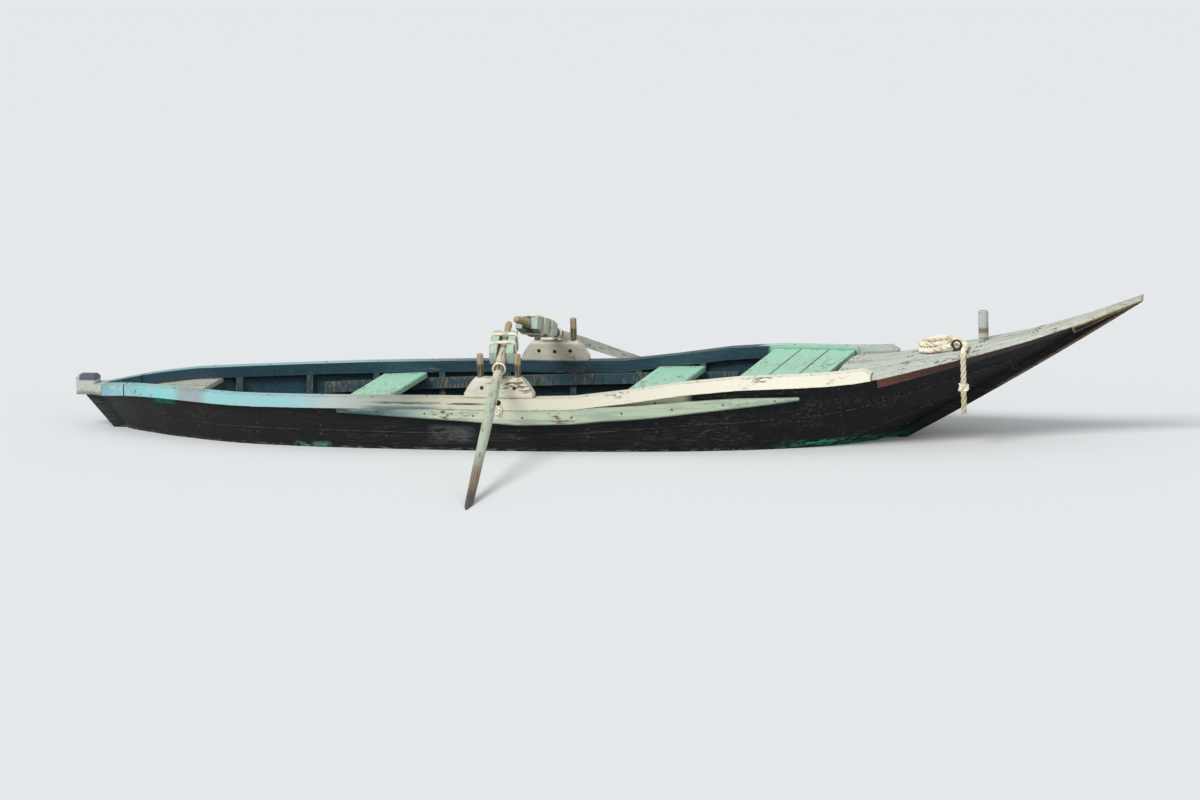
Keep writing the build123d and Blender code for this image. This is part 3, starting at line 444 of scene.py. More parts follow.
def top_of(name, x, y):
    """Where a timber's top is, and the way it faces, or None beside it."""
    spot, out = skins[name].ray_cast(Vector((x, y, ABOVE_ALL)), Vector((0, 0, -1)))[:2]
    return (spot, out) if spot and out.z > 0.5 else None


# The two nails of a pair, before and behind the middle of what they are driven into
PAIR, SEEK_STEP = (-0.008, 0.012), 0.002


def nails_across(name, places, shares):
    """Pairs of nails at shares of a timber's half breadth, at each x."""
    found = []
    for x in places:
        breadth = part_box(name)[1].y
        while not top_of(name, x, breadth):
            breadth -= SEEK_STEP
        found += [top_of(name, x + step, sign * share * breadth)
                  for share in shares for sign in (1, -1) for step in PAIR]
    return [nail for nail in found if nail]


BOARD_PLACES, NAIL_OFF_MIDDLE = (0, 0.142, -0.142, 0.284, -0.284), 0.04
SMALL_NAIL, SMALL_RISE = 0.006, 0.0015
driven = [top_of("floorboards", x, y + step) for x in FRAME_PLACES for y in BOARD_PLACES
          for step in (-NAIL_OFF_MIDDLE, NAIL_OFF_MIDDLE)]
heads("floor_nails", [nail for nail in driven if nail], SMALL_NAIL, SMALL_RISE, iron, "iron")


# Thwarts and bench: pine boards nailed to the risers and ledgers, in mint oil paint.
# The paint has a soft gloss, chalked pale in streaks, and is worn thin in the middle.
def mint_coats(tree, grain):
    """Mint, chalked pale in streaks and worn thin in the middle."""
    tone = coat(tree, "#a3dabd", "#b4e6ce", share_of(tree, grain, 0.35, 0.1))
    thin = share_of(tree, streaks(tree, "y", 0.02, 0.09), 0.25, 0.05)
    return coat(tree, tone, "#a3b597", thin, within(tree, "Y", -0.12, 0.12, 0.2))


mint = painted("Mint oil paint on pine", "y", mint_coats, chipped=0.04)
dress(mint, "rowing_thwart", "aft_thwart", "bench_boards")
BENCH_BOARD, BENCH_SEAM, THWART_INSET = 0.14, 0.006, 0.06
BENCH_NAILS = [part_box("bench_boards")[0].x + BENCH_BOARD / 2 + (BENCH_BOARD + BENCH_SEAM) * k
               for k in range(3)]
driven = nails_across("bench_boards", BENCH_NAILS, (0.94,))
for name in ("rowing_thwart", "aft_thwart"):
    low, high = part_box(name)
    driven += nails_across(name, (low.x + THWART_INSET, high.x - THWART_INSET), (0.93,))
heads("thwart_nails", driven, SMALL_NAIL, SMALL_RISE, iron, "iron")


# Rails: sawn ash on the sheer. The after part is turquoise, the middle is worn through old
# grey coats and greyed by painted shadow of a man sitting by it, and the fore part has a newer
# cream coat. Inboard they are slate blue.
def rail_coats(tree, grain):
    """Turquoise aft, grey green with painted shadow amidships, cream forward, an open scarf in one
    place.
    """
    tone = lengthwise(tree, (-2.6, "#7fb0b6"), (-2.2, "#84cfcf"), (-1.42, "#98c9ce"),
                      (-1.25, "#b9c2bd"), (-0.85, "#959d91"), (-0.62, "#cdc9b2"), (1.0, "#f9f5e1"))
    faded = share_of(tree, streaks(tree, "x", 0.03, 0.2), 0.3, 0.1)
    tone = coat(tree, tone, "#a9c4c4", faded, within(tree, "X", -2.6, -1.4, 0.2))
    tone = coat(tree, tone, "#9aa9ab", within(tree, "X", -2.08, -1.97, 0.05))
    # Painted shadow of a man sitting by the rail amidships: darker teal low on it, and a dark olive
    # line along its top edge
    tone = coat(tree, tone, "#5f7a7a", within(tree, "X", -1.0, -0.75, 0.1),
                within(tree, "Z", 0.2, 0.222, 0.006))
    tone = coat(tree, tone, "#5a5a45", share_of(tree, grain, 0.7),
                within(tree, "X", -0.95, -0.5, 0.1), within(tree, "Z", 0.238, 0.246, 0.003))
    # The port rail has no cream coat: slate forward, partly its paint and partly painted shadow of
    # the rower, and mint where the bench meets it
    other = lengthwise(tree, (-2.6, "#7fb0b6"), (-1.42, "#98c9ce"), (-0.8, "#66797b"),
                       (-0.3, "#3c5864"), (0.7, "#3c5864"), (0.76, "#b0dfcc"), (1.4, "#c0cbc4"))
    port = within(tree, "Y", 0, 0.7, 0.01)
    tone = coat(tree, tone, other, port)
    blue = coat(tree, "#35535f", "#284450", share_of(tree, grain, 0.5, 0.1))
    blue = coat(tree, blue, "#a6d7bf", port, within(tree, "X", 0.78, 1.24, 0.02))
    blue = coat(tree, blue, "#bcc6c0", port, within(tree, "X", 1.26, 1.5, 0.02))
    tone = coat(tree, tone, blue, inboard(tree, 0.5))
    return coat(tree, tone, "#1d1e1a", within(tree, "X", -2.448, -2.442, 0.002))


rail_paint = painted("Turquoise and cream oil paint on ash", "x", rail_coats, chipped=0.05)
dress(rail_paint, "rail_")
# Nails every 275 mm, by turns near the inner and the outer edge of the rail's top
RAIL_NAILS, TOP_DEPTH = [-2.4 + 0.275 * k for k in range(14)], 0.02
INNER_SHARE, OUTER_STEP = 0.3, 0.4
driven = []
for side, sign in SIDES:
    for i, x in enumerate(RAIL_NAILS):
        cut = cut_across("rail_" + side, x)
        crest = max(p.z for p in cut)
        top = sorted((p for p in cut if p.z > crest - TOP_DEPTH), key=lambda p: abs(p.y))
        share = INNER_SHARE + OUTER_STEP * (i % 2)
        driven.append(top_of("rail_" + side, x, top[0].lerp(top[-1], share).y))
heads("rail_nails", [nail for nail in driven if nail], NAIL_RADIUS, SMALL_RISE, iron, "iron")


# Rub strakes: oak strips nailed below the rails, in pale green paint.
# Their lower edge, where it faces down, is deep green: painted shade.
def rub_coats(tree, grain):
    """Pale green, greyer aft, with deep green painted shade on the down-facing lower edge."""
    tone = lengthwise(tree, (-1.21, "#3a4c4e"), (-0.98, "#506869"), (-0.84, "#83958c"),
                      (-0.72, "#c3cbb9"), (-0.5, "#cfd2bd"), (0.2, "#b4c3ab"), (1.12, "#c2d2ba"))
    tone = coat(tree, tone, "#9aab95", share_of(tree, streaks(tree, "x", 0.02, 0.3), 0.25, 0.1))
    # The painted shade on the lower edge is found by how far its softened normal looks down
    soft = add(tree, "Bevel", {"Radius": 0.014}, samples=4).outputs[0]
    under = add(tree, "SeparateXYZ", {0: soft}).outputs["Z"]
    under = add(tree, "MapRange", {"Value": under, "From Min": -0.15, "From Max": -0.35}).outputs[0]
    return coat(tree, tone, "#124b42", under)


rub_paint = painted("Pale green oil paint on oak", "x", rub_coats, chipped=0.06)
dress(rub_paint, "rub_strake_")


# Bands under the foredeck's edge: ash strips in maroon paint, nailed on and chipped.
# Red oxide gives the brown, and it darkens where tar has run into it.
def maroon_coats(tree, grain):
    """Maroon, darker towards the bow, with pale streaks of painted highlight at the after end."""
    tone = lengthwise(tree, (1.48, "#6a3a30"), (1.7, "#4a2721"), (2.0, "#351f1d"), (2.4, "#201819"))
    # Pale streaks near the after end of the band are painted highlight
    painted_highlight = share_of(tree, grain, 0.15, 0.05)
    return coat(tree, tone, "#8a5f55", painted_highlight, within(tree, "X", 1.4, 1.6, 0.2))


maroon = painted("Maroon oil paint on ash", "x", maroon_coats, wood="#55463c", chipped=0.05)
dress(maroon, "bow_band_")
STRIP_NAILS = {"rub_strake_": [-1.0 + 0.25 * k for k in range(9)],
               "bow_band_": [1.6 + 0.2 * k for k in range(4)]}
driven = []
for name, places in STRIP_NAILS.items():
    for side, sign in SIDES:
        for x in places:
            low, high, out = outer_edges(name + side, x)
            driven.append(((low + high) / 2, out))
heads("strip_nails", driven, SMALL_NAIL, SMALL_RISE, iron, "iron")


# Decks: pine planks laid fore and aft on the beams, in grey deck paint that has chalked.
# It is worn in streaks along the planks, and paler and browner towards the tip.
def deck_coats(tree, grain):
    """Grey, paler and browner to the tip, with dirt in broad streaks."""
    tone = lengthwise(tree, (-2.6, "#a9aca2"), (1.2, "#bdc7bc"), (2.1, "#cbd1c4"),
                      (2.45, "#cac9ba"), (2.75, "#ccc1aa"))
    tone = coat(tree, tone, "#adb1a4", share_of(tree, streaks(tree, "x", 0.06, 0.4), 0.3, 0.08))
    return coat(tree, tone, "#d6d8cc", share_of(tree, grain, 0.3, 0.08))


deck_paint = painted("Chalked grey deck paint on pine", "x", deck_coats, chipped=0.09, gloss=0.62)
dress(deck_paint, "foredeck_planks", "aft_deck_planks")
# Nails go into the beams, near each edge of each plank
FOREDECK_BEAMS, AFT_DECK_BEAMS = (1.2925, 1.595, 1.9525, 2.2275), (-2.39, -2.1)
driven = nails_across("foredeck_planks", FOREDECK_BEAMS, (0.17, 0.25, 0.58, 0.66, 0.95))
driven += nails_across("aft_deck_planks", AFT_DECK_BEAMS, (0.2, 0.45, 0.85))
heads("deck_nails", driven, SMALL_NAIL, SMALL_RISE, iron, "iron")


# Head of the sternpost: a block of oak bolted on, in flaking cream paint with a tarred crown.
# The cream has gone grey on the sides and shows dark end grain where it has flaked.
def block_coats(tree, grain):
    """Cream, greyed in streaks, with the purple grey of the tarred crown."""
    tone = coat(tree, "#c3cbc0", "#a4aea6", share_of(tree, grain, 0.4, 0.1))
    tone = coat(tree, tone, "#727d6c", share_of(tree, grain, 0.8, 0.1),
                within(tree, "Z", 0.1, 0.178, 0.015))
    return coat(tree, tone, "#545a6c", within(tree, "Z", 0.247, 0.3, 0.008),
                within(tree, "X", -2.725, -2.5, 0.01))


block_paint = painted("Flaking cream paint on oak", "y", block_coats, chipped=0.1, worn=0.01)
dress(block_paint, "stern_head")


# Thole chocks: oak blocks bolted on the rails, in worn cream paint, their crests rubbed bare by
# the oars. The pins are whittled ash, pale, dark with grease where the strops rub.
def chock_coats(tree, grain):
    """Cream and grey green coats, one over the other, worn to brown wood on the crest."""
    patches = share_of(tree, streaks(tree, "x", 0.04, 0.1), 0.45, 0.08)
    tone = coat(tree, "#ddd6c6", "#c9cbba", patches)
    crest = both(tree, within(tree, "Z", 0.368, 0.4, 0.006), within(tree, "X", -0.43, -0.31, 0.03))
    return coat(tree, tone, "#8d7a5f", crest, share_of(tree, grain, 0.8, 0.1))


chock_paint = painted("Worn cream paint on oak", "x", chock_coats, chipped=0.05)
dress(chock_paint, "thole_chock_")

# Whittling marks 5 by 100 mm, as coarse as they need to show
ash, tree, shader = new_finish("Whittled ash, greased")
grain = streaks(tree, "z", 0.005, 0.1)
dark = both(tree, within(tree, "Z", 0.375, 0.43, 0.015), share_of(tree, grain, 0.8, 0.1))
tone = coat(tree, "#b8a888", "#8d7d63", share_of(tree, grain, 0.45, 0.08))
tone = coat(tree, tone, "#4a3f33", dark)
finish_off(tree, shader, tone, grain, dark, grain_depth=0.0008, film=0, sound=0.65, raw=0.4)
dress(ash, "thole_pins_")

CHOCK_BOLTS = ((-0.455, 0.322), (-0.372, 0.318), (-0.29, 0.322))
BOLT_RADIUS, BOLT_RISE = 0.010, 0.004
CHOCK_MIDDLE, CLEAR_OF_CHOCK = 0.6, 0.3
driven = []
for side, sign in SIDES:
    for x, z in CHOCK_BOLTS:
        for way in (1, -1):
            start = Vector((x, sign * (CHOCK_MIDDLE + CLEAR_OF_CHOCK * way), z))
            inward = Vector((0, -sign * way, 0))
            driven.append(skins["thole_chock_" + side].ray_cast(start, inward)[:2])
heads("chock_bolts", driven, BOLT_RADIUS, BOLT_RISE, iron, "iron")


# Ropes: three strand manila, laid right handed, weathered pale and fluffed.
# A strand is a thick yarn tube that winds round the rope's middle once in about three diameters.
manila, tree, shader = new_finish("Weathered manila", Specular_IOR_Level=0.2)
# Fibres are drawn 3 mm wide, ten times too coarse, so that they show
fibres = streaks(tree, "x", 0.003, 0.003)
dirt = share_of(tree, streaks(tree, "x", 0.06, 0.06), 0.25, 0.06)
tone = coat(tree, "#fff8e6", "#efe4c8", share_of(tree, fibres, 0.4, 0.08))
tone = coat(tree, tone, "#cfc49f", dirt)
# The hanging part of the bow rope is greyer, and browner below its knot
hanging = within(tree, "X", 1.87, 1.93, 0.01)
tone = coat(tree, tone, "#d6cfb4", within(tree, "Z", 0.33, 0.44, 0.02), hanging)
tone = coat(tree, tone, "#c6be98", within(tree, "Z", 0.1, 0.262, 0.02), hanging)
finish_off(tree, shader, tone, fibres, dirt, grain_depth=0.001, film=0, sound=0.9, raw=0.97)


def even(line, step):
    """The line again, with points a step apart."""
    done, left = [line[0]], step
    for a, b in zip(line, line[1:]):
        run = (b - a).length
        while left < run:
            done.append(a.lerp(b, left / run))
            left += step
        left -= run
    return done


# A strand's radius and one turn of the lay, as shares of the rope's radius; points in a turn
STRAND_SHARE, LAY_SHARE, LAY_POINTS = 0.47, 6.4, 12


def strands(line, radius, closed=False, sides=8):
    """Points and faces of three strands laid round a line; a closed line ends where it starts."""
    strand = radius * STRAND_SHARE
    offset = radius - strand
    line = even(line, LAY_SHARE * radius / LAY_POINTS)
    turns_in_all = (len(line) - 1) / LAY_POINTS
    if closed:
        turns_in_all = max(1, round(turns_in_all))
    points, faces = [], []
    side = None
    frames = []
    for i, here in enumerate(line):
        ahead = line[(i + 1) % len(line)] if closed else line[min(i + 1, len(line) - 1)]
        behind = line[i - 1] if closed or i else line[0]
        along = (ahead - behind).normalized()
        side = along.orthogonal() if side is None else side - along * side.dot(along)
        side.normalize()
        frames.append((here, side.copy(), along.cross(side)))
    drift = 0
    if closed:
        first, last = frames[0], frames[-1]
        drift = last[1].angle(first[1]) * (1 if last[2].dot(first[1]) > 0 else -1)
    for k in range(3):
        middle = []
        for i, (here, side, other) in enumerate(frames):
            share = i / (len(line) if closed else len(line) - 1)
            turn = 2 * pi * (k / 3 + share * turns_in_all) + drift * share
            middle.append(here + (side * cos(turn) + other * sin(turn)) * offset)
        base = len(points)
        count = len(middle)
        for i, here in enumerate(middle):
            ahead = middle[(i + 1) % count] if closed else middle[min(i + 1, count - 1)]
            behind = middle[i - 1] if closed or i else middle[0]
            along = (ahead - behind).normalized()
            across = (frames[i][1] - along * frames[i][1].dot(along)).normalized()
            other = along.cross(across)
            for j in range(sides):
                angle = 2 * pi * j / sides
                points.append(here + (across * cos(angle) + other * sin(angle)) * strand)
        faces += rings_joined(base, count, sides, closed)
        if not closed:
            faces += ends_of(base, count, sides)
    return points, faces


def laid_rope(name, line, radius, body, closed=False):
    """A piece of laid rope along a line."""
    return new_piece(name, *strands(line, radius, closed), manila, body, "rope")


# Strops: a grommet of 12 mm rope over each chock, in which the oar lies and turns.
# One strand laid up on itself makes the ring, so it has no splice or knot.
GROMMET_RADIUS, GROMMET_ROPE, GROMMET_POINTS = 0.030, 0.006, 48
for side, sign in SIDES:
    low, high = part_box("strop_" + side)
    middle = (low + high) / 2
    spots = [v.co - middle for v in timber["strop_" + side].data.vertices]
    across = max(spots, key=lambda p: p.length).normalized()
    other = max(spots, key=lambda p: (p - across * p.dot(across)).length)
    other = (other - across * other.dot(across)).normalized()
    angles = [2 * pi * k / GROMMET_POINTS for k in range(GROMMET_POINTS)]
    ring = [middle + (across * cos(a) + other * sin(a)) * GROMMET_RADIUS for a in angles]
    grommet = laid_rope("strop_rope_" + side, ring + ring[:1], GROMMET_ROPE, "swivel_" + side,
                        closed=True)
    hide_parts("strop_" + side)


# Oars: each one piece of ash, round at the handle, with a spined blade.
# The handle is polished by use, the loom has a worn pale green coat, and the blade is bare,
# brown and dark with wet. Grain is 5 mm wide and flakes are 12 by 100 mm.
oar_wood, tree, shader = new_finish("Ash, part painted and part wet")
grain = streaks(tree, "z", 0.005, 0.3)
flakes = streaks(tree, "z", 0.012, 0.1)
painted_part = both(tree, within(tree, "Z", -0.41, 1.0, 0.25), share_of(tree, flakes, 0.82, 0.05))
wet = within(tree, "Z", 1.5, 2.4, 0.15)
tone = coat(tree, "#9a8670", "#77654f", share_of(tree, grain, 0.45, 0.08))
tone = coat(tree, tone, "#b5c2ae", painted_part)
tone = coat(tree, tone, "#d8ccb4", share_of(tree, flakes, 0.7, 0.1),
            within(tree, "Z", -0.2, 0.12, 0.08))
tone = coat(tree, tone, "#b59b76", within(tree, "Z", -0.56, -0.43, 0.01))
tone = coat(tree, tone, "#4d4237", share_of(tree, grain, 0.8, 0.1),
            within(tree, "Z", -0.03, 0.05, 0.02))
tone = coat(tree, tone, "#463a2d", wet)
finish_off(tree, shader, tone, grain, wet, grain_depth=0.0008, film=0, sound=0.62, raw=0.3)

# Distance from the strop, half thickness, half width, and how square the section is
OAR_SHAPE = ((-0.5595, 0.012, 0.012, 0), (-0.555, 0.016, 0.016, 0), (-0.54, 0.0185, 0.0185, 0),
             (-0.50, 0.0165, 0.0165, 0), (-0.44, 0.0165, 0.0165, 0), (-0.425, 0.0225, 0.0225, 0),
             (-0.2, 0.023, 0.023, 0), (0.12, 0.023, 0.023, 0), (0.3, 0.0255, 0.0255, 0),
             (0.6, 0.0255, 0.0255, 0), (1.2, 0.0225, 0.0225, 0),
             (1.55, 0.020, 0.021, 0), (1.62, 0.018, 0.0245, 0.2), (1.72, 0.016, 0.036, 0.5),
             (1.82, 0.014, 0.049, 0.8), (1.93, 0.0115, 0.062, 1), (2.1, 0.0095, 0.0645, 1),
             (2.22, 0.0075, 0.0645, 1), (2.249, 0.0065, 0.062, 1), (2.2575, 0.0045, 0.056, 1))
OAR_SIDES = 32
# The blade's spine, and how thin the board is beside it and how square its edges are
SPINE_BREADTH, BOARD_SHARE, EDGE_SQUARENESS = 0.016, 0.4, 0.35
# Where the port oar crosses its strop, the way it points and the way in which it is thick
OAR_PIVOT, OAR_RUN = (-0.37125, 0.609206, 0.412534), (0.134304, 0.955625, -0.262189)
OAR_THICK = (0.990268, -0.139173, 0)
oar_axes = {}
for side, sign in SIDES:
    pivot, along, thick = [Vector((x, sign * y, z)) for x, y, z in (OAR_PIVOT, OAR_RUN, OAR_THICK)]
    along.normalize()
    wide = along.cross(thick)
    oar_axes[side] = pivot, thick, wide, along
    points = []
    for reach, half, breadth, flat in OAR_SHAPE:
        for k in range(OAR_SIDES):
            c, s = cos(2 * pi * k / OAR_SIDES), sin(2 * pi * k / OAR_SIDES)
            spine = exp(-(s * breadth / SPINE_BREADTH) ** 2)
            board = BOARD_SHARE + (1 - BOARD_SHARE) * spine
            board *= abs(c) ** EDGE_SQUARENESS * (1 if c > 0 else -1)
            points.append((half * (c * (1 - flat) + flat * board), breadth * s, reach))
    faces = rings_joined(0, len(OAR_SHAPE), OAR_SIDES) + ends_of(0, len(OAR_SHAPE), OAR_SIDES)
    mesh = bpy.data.meshes.new("oar_" + side + "_wood")
    mesh.from_pydata(points, [], faces)
    mesh.materials.append(oar_wood)
    mesh.shade_smooth()
    oar = bpy.data.objects.new("oar_wood_" + side, mesh)
    bpy.context.scene.collection.objects.link(oar)
    turned = Matrix((thick, wide, along)).transposed().to_4x4()
    oar.matrix_world = Matrix.Translation(pivot) @ turned
    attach(oar, "oar_" + side)
    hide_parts("oar_" + side)


# Cheeks of the oars: two pine blocks on each loom inboard of the pins, which balance the blade.
# Their mint coat is the thwarts' own, greyed in streaks and chipped at the corners.
def cheek_coats(tree, grain):
    """Mint, greyed in streaks."""
    return coat(tree, "#c0d4c5", "#a9bfab", share_of(tree, grain, 0.4, 0.1))


cheek_paint = painted("Mint oil paint on pine blocks", "y", cheek_coats, chipped=0.07)
dress(cheek_paint, "oar_cheeks_")


# Lashings: small line passed three times round the cheeks and the loom at two places, hove
# tight and tucked, so that each is a flat band of turns.
LASHING_PLACES, LASHING_TURNS, LASHING_ROPE = (-0.225, -0.325), 3, 0.0045
# A turn lies a little over a rope's thickness from the next, and rounds the blocks' corners
TURN_GAP, CORNER, LOOP_POINTS = 2.1, 8, 240
for side, sign in SIDES:
    pivot, thick, wide, along = oar_axes[side]
    spots = [v.co - pivot for v in timber["oar_cheeks_" + side].data.vertices]
    half = max(abs(p.dot(thick)) for p in spots) + LASHING_ROPE
    deep = max(abs(p.dot(wide)) for p in spots) + LASHING_ROPE
    for band, place in zip("ab", LASHING_PLACES):
        points, faces = [], []
        for turn in range(LASHING_TURNS):
            middle = pivot + along * (place + (turn - 1) * TURN_GAP * LASHING_ROPE)
            loop = []
            for k in range(LOOP_POINTS):
                c, s = cos(2 * pi * k / LOOP_POINTS), sin(2 * pi * k / LOOP_POINTS)
                loop.append(middle + thick * half * abs(c) ** (2 / CORNER) * (1 if c > 0 else -1)
                            + wide * deep * abs(s) ** (2 / CORNER) * (1 if s > 0 else -1))
            more, skin = strands(loop + loop[:1], LASHING_ROPE, closed=True, sides=6)
            faces += [[i + len(points) for i in face] for face in skin]
            points += more
        new_piece("lashing_" + band + "_" + side, points, faces, manila, "oar_" + side, "rope")


# Lanyard hole in the starboard rail below the oar, with the knot of a short lanyard hove into it.
# The hole is a near black disc, painted shade of its dark inside, and the knot is one of the
# small line's stoppers.
def trefoil(middle, turn, ring, swing, rise):
    """A closed line with the three crossings of an overhand knot, round a middle."""
    line = []
    for k in range(TREFOIL_POINTS):
        t = 2 * pi * k / TREFOIL_POINTS
        reach = ring + swing * cos(3 * t)
        line.append(middle + turn @ Vector((reach * cos(2 * t), reach * sin(2 * t),
                                            rise * sin(3 * t))))
    return line + line[:1]


TREFOIL_POINTS = 72
LANYARD_PLACE, HOLE_HEIGHT, HOLE_RADIUS, HOLE_SIDES, HOLE_PROUD = -0.370, 0.250, 0.014, 16, 0.0008
KNOT_HEIGHT, KNOT_LINE, KNOT_PROUD = 0.214, 0.0052, 0.009
outside = Vector((LANYARD_PLACE, -2, HOLE_HEIGHT))
hole, out = skins["rail_starboard"].ray_cast(outside, Vector((0, 1, 0)))[:2]
turn = out.to_track_quat("Z", "Y").to_matrix()
# Painted shade: the hole's inside is drawn as a flat near black disc just proud of the rail
hole_shade, tree, shader = new_finish("Painted shade inside a hole in ash", Roughness=0.9)
shader.inputs["Base Color"].default_value = linear("#0f0d0b")
angles = [2 * pi * k / HOLE_SIDES for k in range(HOLE_SIDES)]
rim = [hole + turn @ Vector((HOLE_RADIUS * cos(a), HOLE_RADIUS * sin(a), HOLE_PROUD))
       for a in angles]
new_piece("lanyard_hole", rim, [list(range(HOLE_SIDES))], hole_shade, slot="turquoise_paint",
          smooth=False)
knot_seat = Vector((hole.x, hole.y, KNOT_HEIGHT)) + out * KNOT_PROUD
bends = trefoil(knot_seat, turn, ring=0.012, swing=0.006, rise=0.006)
laid_rope("lanyard_knot", bends, KNOT_LINE, "hull", closed=True)


# Post on the foredeck: turned oak in grey paint, grooved by rope. The ring bolt beside it is
# forged iron, rusted brown.
def post_coats(tree, grain):
    """Grey green, with the brown groove that ropes have worn."""
    tone = coat(tree, "#c1c9c4", "#aeb6ab", share_of(tree, grain, 0.4, 0.1))
    return coat(tree, tone, "#897a60", within(tree, "Z", 0.53, 0.545, 0.012))


post_paint = painted("Grey oil paint on turned oak", "z", post_coats, chipped=0.08)
dress(post_paint, "bow_post")
dress(iron, "ring_bolt")


# Bow rope: made fast to the ring bolt, coiled on the foredeck, and over the starboard edge,
# where it hangs past a stopper knot to its bare end.
# The first and last groups of points are the route; the coil is two turns, one on the other.
LEAD = ((1.8146, -0.150, 0.4796), (1.784, -0.1495, 0.4722), (1.750, -0.141, 0.4607),
        (1.716, -0.121, 0.4516), (1.685, -0.093, 0.4470), (1.662, -0.060, 0.4437))
RUN = ((1.7778, 0.0417, 0.4900), (1.8025, -0.008, 0.5000), (1.8295, -0.048, 0.4903),
       (1.8615, -0.088, 0.4830), (1.8865, -0.128, 0.4838), (1.8935, -0.165, 0.4831),
       (1.8960, -0.205, 0.4798), (1.8975, -0.2419, 0.4800), (1.8983, -0.2751, 0.4800),
       (1.8982, -0.2985, 0.4566), (1.8978, -0.2985, 0.4234), (1.8995, -0.2965, 0.3660),
       (1.8965, -0.2942, 0.2960), (1.8995, -0.2952, 0.2310), (1.8975, -0.2942, 0.1660))
ROPE = 0.030
COIL_MIDDLE, COIL_TURN = Vector((1.71325, 0, 0)), 0.0755
COIL_START, COIL_STEP, COIL_POINTS = -155, 24, 22
RISE_FROM, RISE_TO, LOW_TURN, HIGH_TURN = 225, 335, 0.0158, 0.0465
coil = []
for k in range(COIL_POINTS):
    turned = k * COIL_STEP
    at = radians(COIL_START - turned)
    spot = COIL_MIDDLE + Vector((COIL_TURN * cos(at), COIL_TURN * sin(at), 0))
    risen = min(max((turned - RISE_FROM) / (RISE_TO - RISE_FROM), 0), 1)
    crown = top_of("foredeck_planks", spot.x, 0)[0].z
    coil.append((spot.x, spot.y, crown + LOW_TURN + (HIGH_TURN - LOW_TURN) * risen))
route = bpy.data.curves.new("bow_rope_route", "CURVE")
route.dimensions = "3D"
route.resolution_u = 12
spline = route.splines.new("NURBS")
places = [*LEAD, *coil, *RUN]
spline.points.add(len(places) - 1)
for point, place in zip(spline.points, places):
    point.co = (*place, 1)
spline.order_u = 3
spline.use_endpoint_u = True
holder = bpy.data.objects.new("bow_rope_route", route)
line = [v.co.copy() for v in bpy.data.meshes.new_from_object(holder).vertices]
bow_rope = laid_rope("bow_rope_strands", line, ROPE / 2, "hull")
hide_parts("bow_rope", "rope_coil")

STOPPER_PLACE, STOPPER_LINE = Vector((1.8965, -0.2942, 0.2960)), 0.0105
bends = trefoil(STOPPER_PLACE, Matrix.Identity(3), ring=0.0125, swing=0.0075, rise=0.0155)
knot = laid_rope("stopper_knot", bends, STOPPER_LINE, "hull", closed=True)
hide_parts("rope_knot")


# Floor: a plain pale studio floor at the height of the waterline, for staging only.
# It is cut away inside the hull, a little within the planking's outside all round.
planking = [strake + side for strake in STRAKES for side, sign in SIDES]
shell_points, shell_faces = [], []
for name in planking + ["stem", "sternpost", "keel"]:
    base = len(shell_points)
    shell_points += [v.co for v in timber[name].data.vertices]
    shell_faces += [[base + i for i in face.vertices] for face in timber[name].data.polygons]
shell = BVHTree.FromPolygons(shell_points, shell_faces)
FLOOR_LAP, FLOOR_REACH, RIM_STEPS, LEAST_OPENING = 0.009, 90, 96, 0.004
aft_end = shell.ray_cast(Vector((-4, 0, 0)), Vector((1, 0, 0)))[0].x + FLOOR_LAP
fore_end = shell.ray_cast(Vector((4, 0, 0)), Vector((-1, 0, 0)))[0].x - FLOOR_LAP
rim = []
for k in range(RIM_STEPS + 1):
    x = aft_end + (fore_end - aft_end) * k / RIM_STEPS
    hit = shell.ray_cast(Vector((x, -2, 0)), Vector((0, 1, 0)))[0]
    rim.append(Vector((x, min(hit.y + FLOOR_LAP, -LEAST_OPENING), 0)))
rim += [Vector((p.x, -p.y, 0)) for p in reversed(rim)]
around = [Vector((x * FLOOR_REACH, y * FLOOR_REACH, 0))
          for x, y in ((-1, -1), (1, -1), (1, 1), (-1, 1))]
sheet = bmesh.new()
loops = []
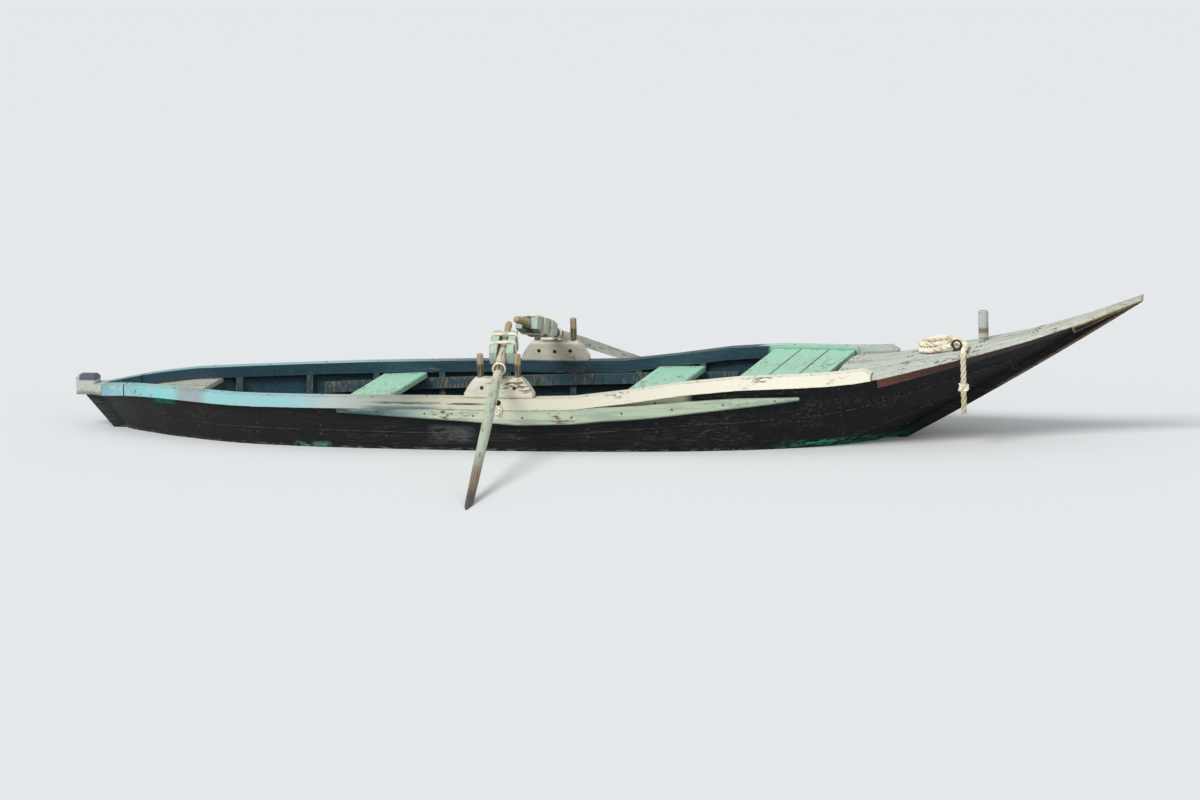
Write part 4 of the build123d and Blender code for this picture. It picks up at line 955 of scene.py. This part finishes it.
for loop in (rim, around):
    corners = [sheet.verts.new(p) for p in loop]
    loops += [sheet.edges.new((a, b)) for a, b in zip(corners, corners[1:] + corners[:1])]
bmesh.ops.triangle_fill(sheet, edges=loops, use_beauty=True, use_dissolve=False, normal=(0, 0, 1))
mesh = bpy.data.meshes.new("floor")
sheet.to_mesh(mesh)
floor = bpy.data.objects.new("floor", mesh)
bpy.context.scene.collection.objects.link(floor)
paper, tree, shader = new_finish("Pale studio floor", Roughness=0.9)
shader.inputs["Base Color"].default_value = linear("#e9ebec")
mesh.materials.append(paper)


# Light: a soft studio, an even pale room with a broad key from the left and a weak fill.
# Each lamp has a place that it shines from, a strength and a spread in degrees.
LAMPS = (("key", (-6, -9, 11), 2.0, 25), ("fill", (9, -7, 6), 0.4, 50))
ROOM_TONE, ROOM_STRENGTH = "#f7f9fb", 0.5
world = bpy.data.worlds.new("studio")
bpy.context.scene.world = world
world.use_nodes = True
room = world.node_tree.nodes["Background"]
room.inputs["Color"].default_value = linear(ROOM_TONE)
room.inputs["Strength"].default_value = ROOM_STRENGTH
for name, place, power, spread in LAMPS:
    lamp = bpy.data.lights.new(name, "SUN")
    lamp.energy = power
    lamp.angle = radians(spread)
    made = bpy.data.objects.new(name, lamp)
    made.rotation_mode = "QUATERNION"
    made.rotation_quaternion = Vector(place).to_track_quat("Z", "Y")
    bpy.context.scene.collection.objects.link(made)


# Camera: a long lens from the photograph's standpoint, off the starboard bow and looking down.
# It is rolled by 1.4 degrees, as its right vector says, and has no shift.
eye = bpy.data.cameras.new("camera")
eye.lens = 180
eye.sensor_width = 36
eye.clip_end = 500
camera = bpy.data.objects.new("camera", eye)
forward = Vector((-0.22329967, 0.96192847, -0.15757814))
right = Vector((0.97468307, 0.22223954, -0.02454569))
up = right.cross(forward)
camera.matrix_world = Matrix.Translation((6.737, -29.040, 4.921)) @ Matrix(
    (right, up, -forward)).transposed().to_4x4()
bpy.context.scene.collection.objects.link(camera)
bpy.context.scene.camera = camera
bpy.context.scene.view_settings.view_transform = "Standard"
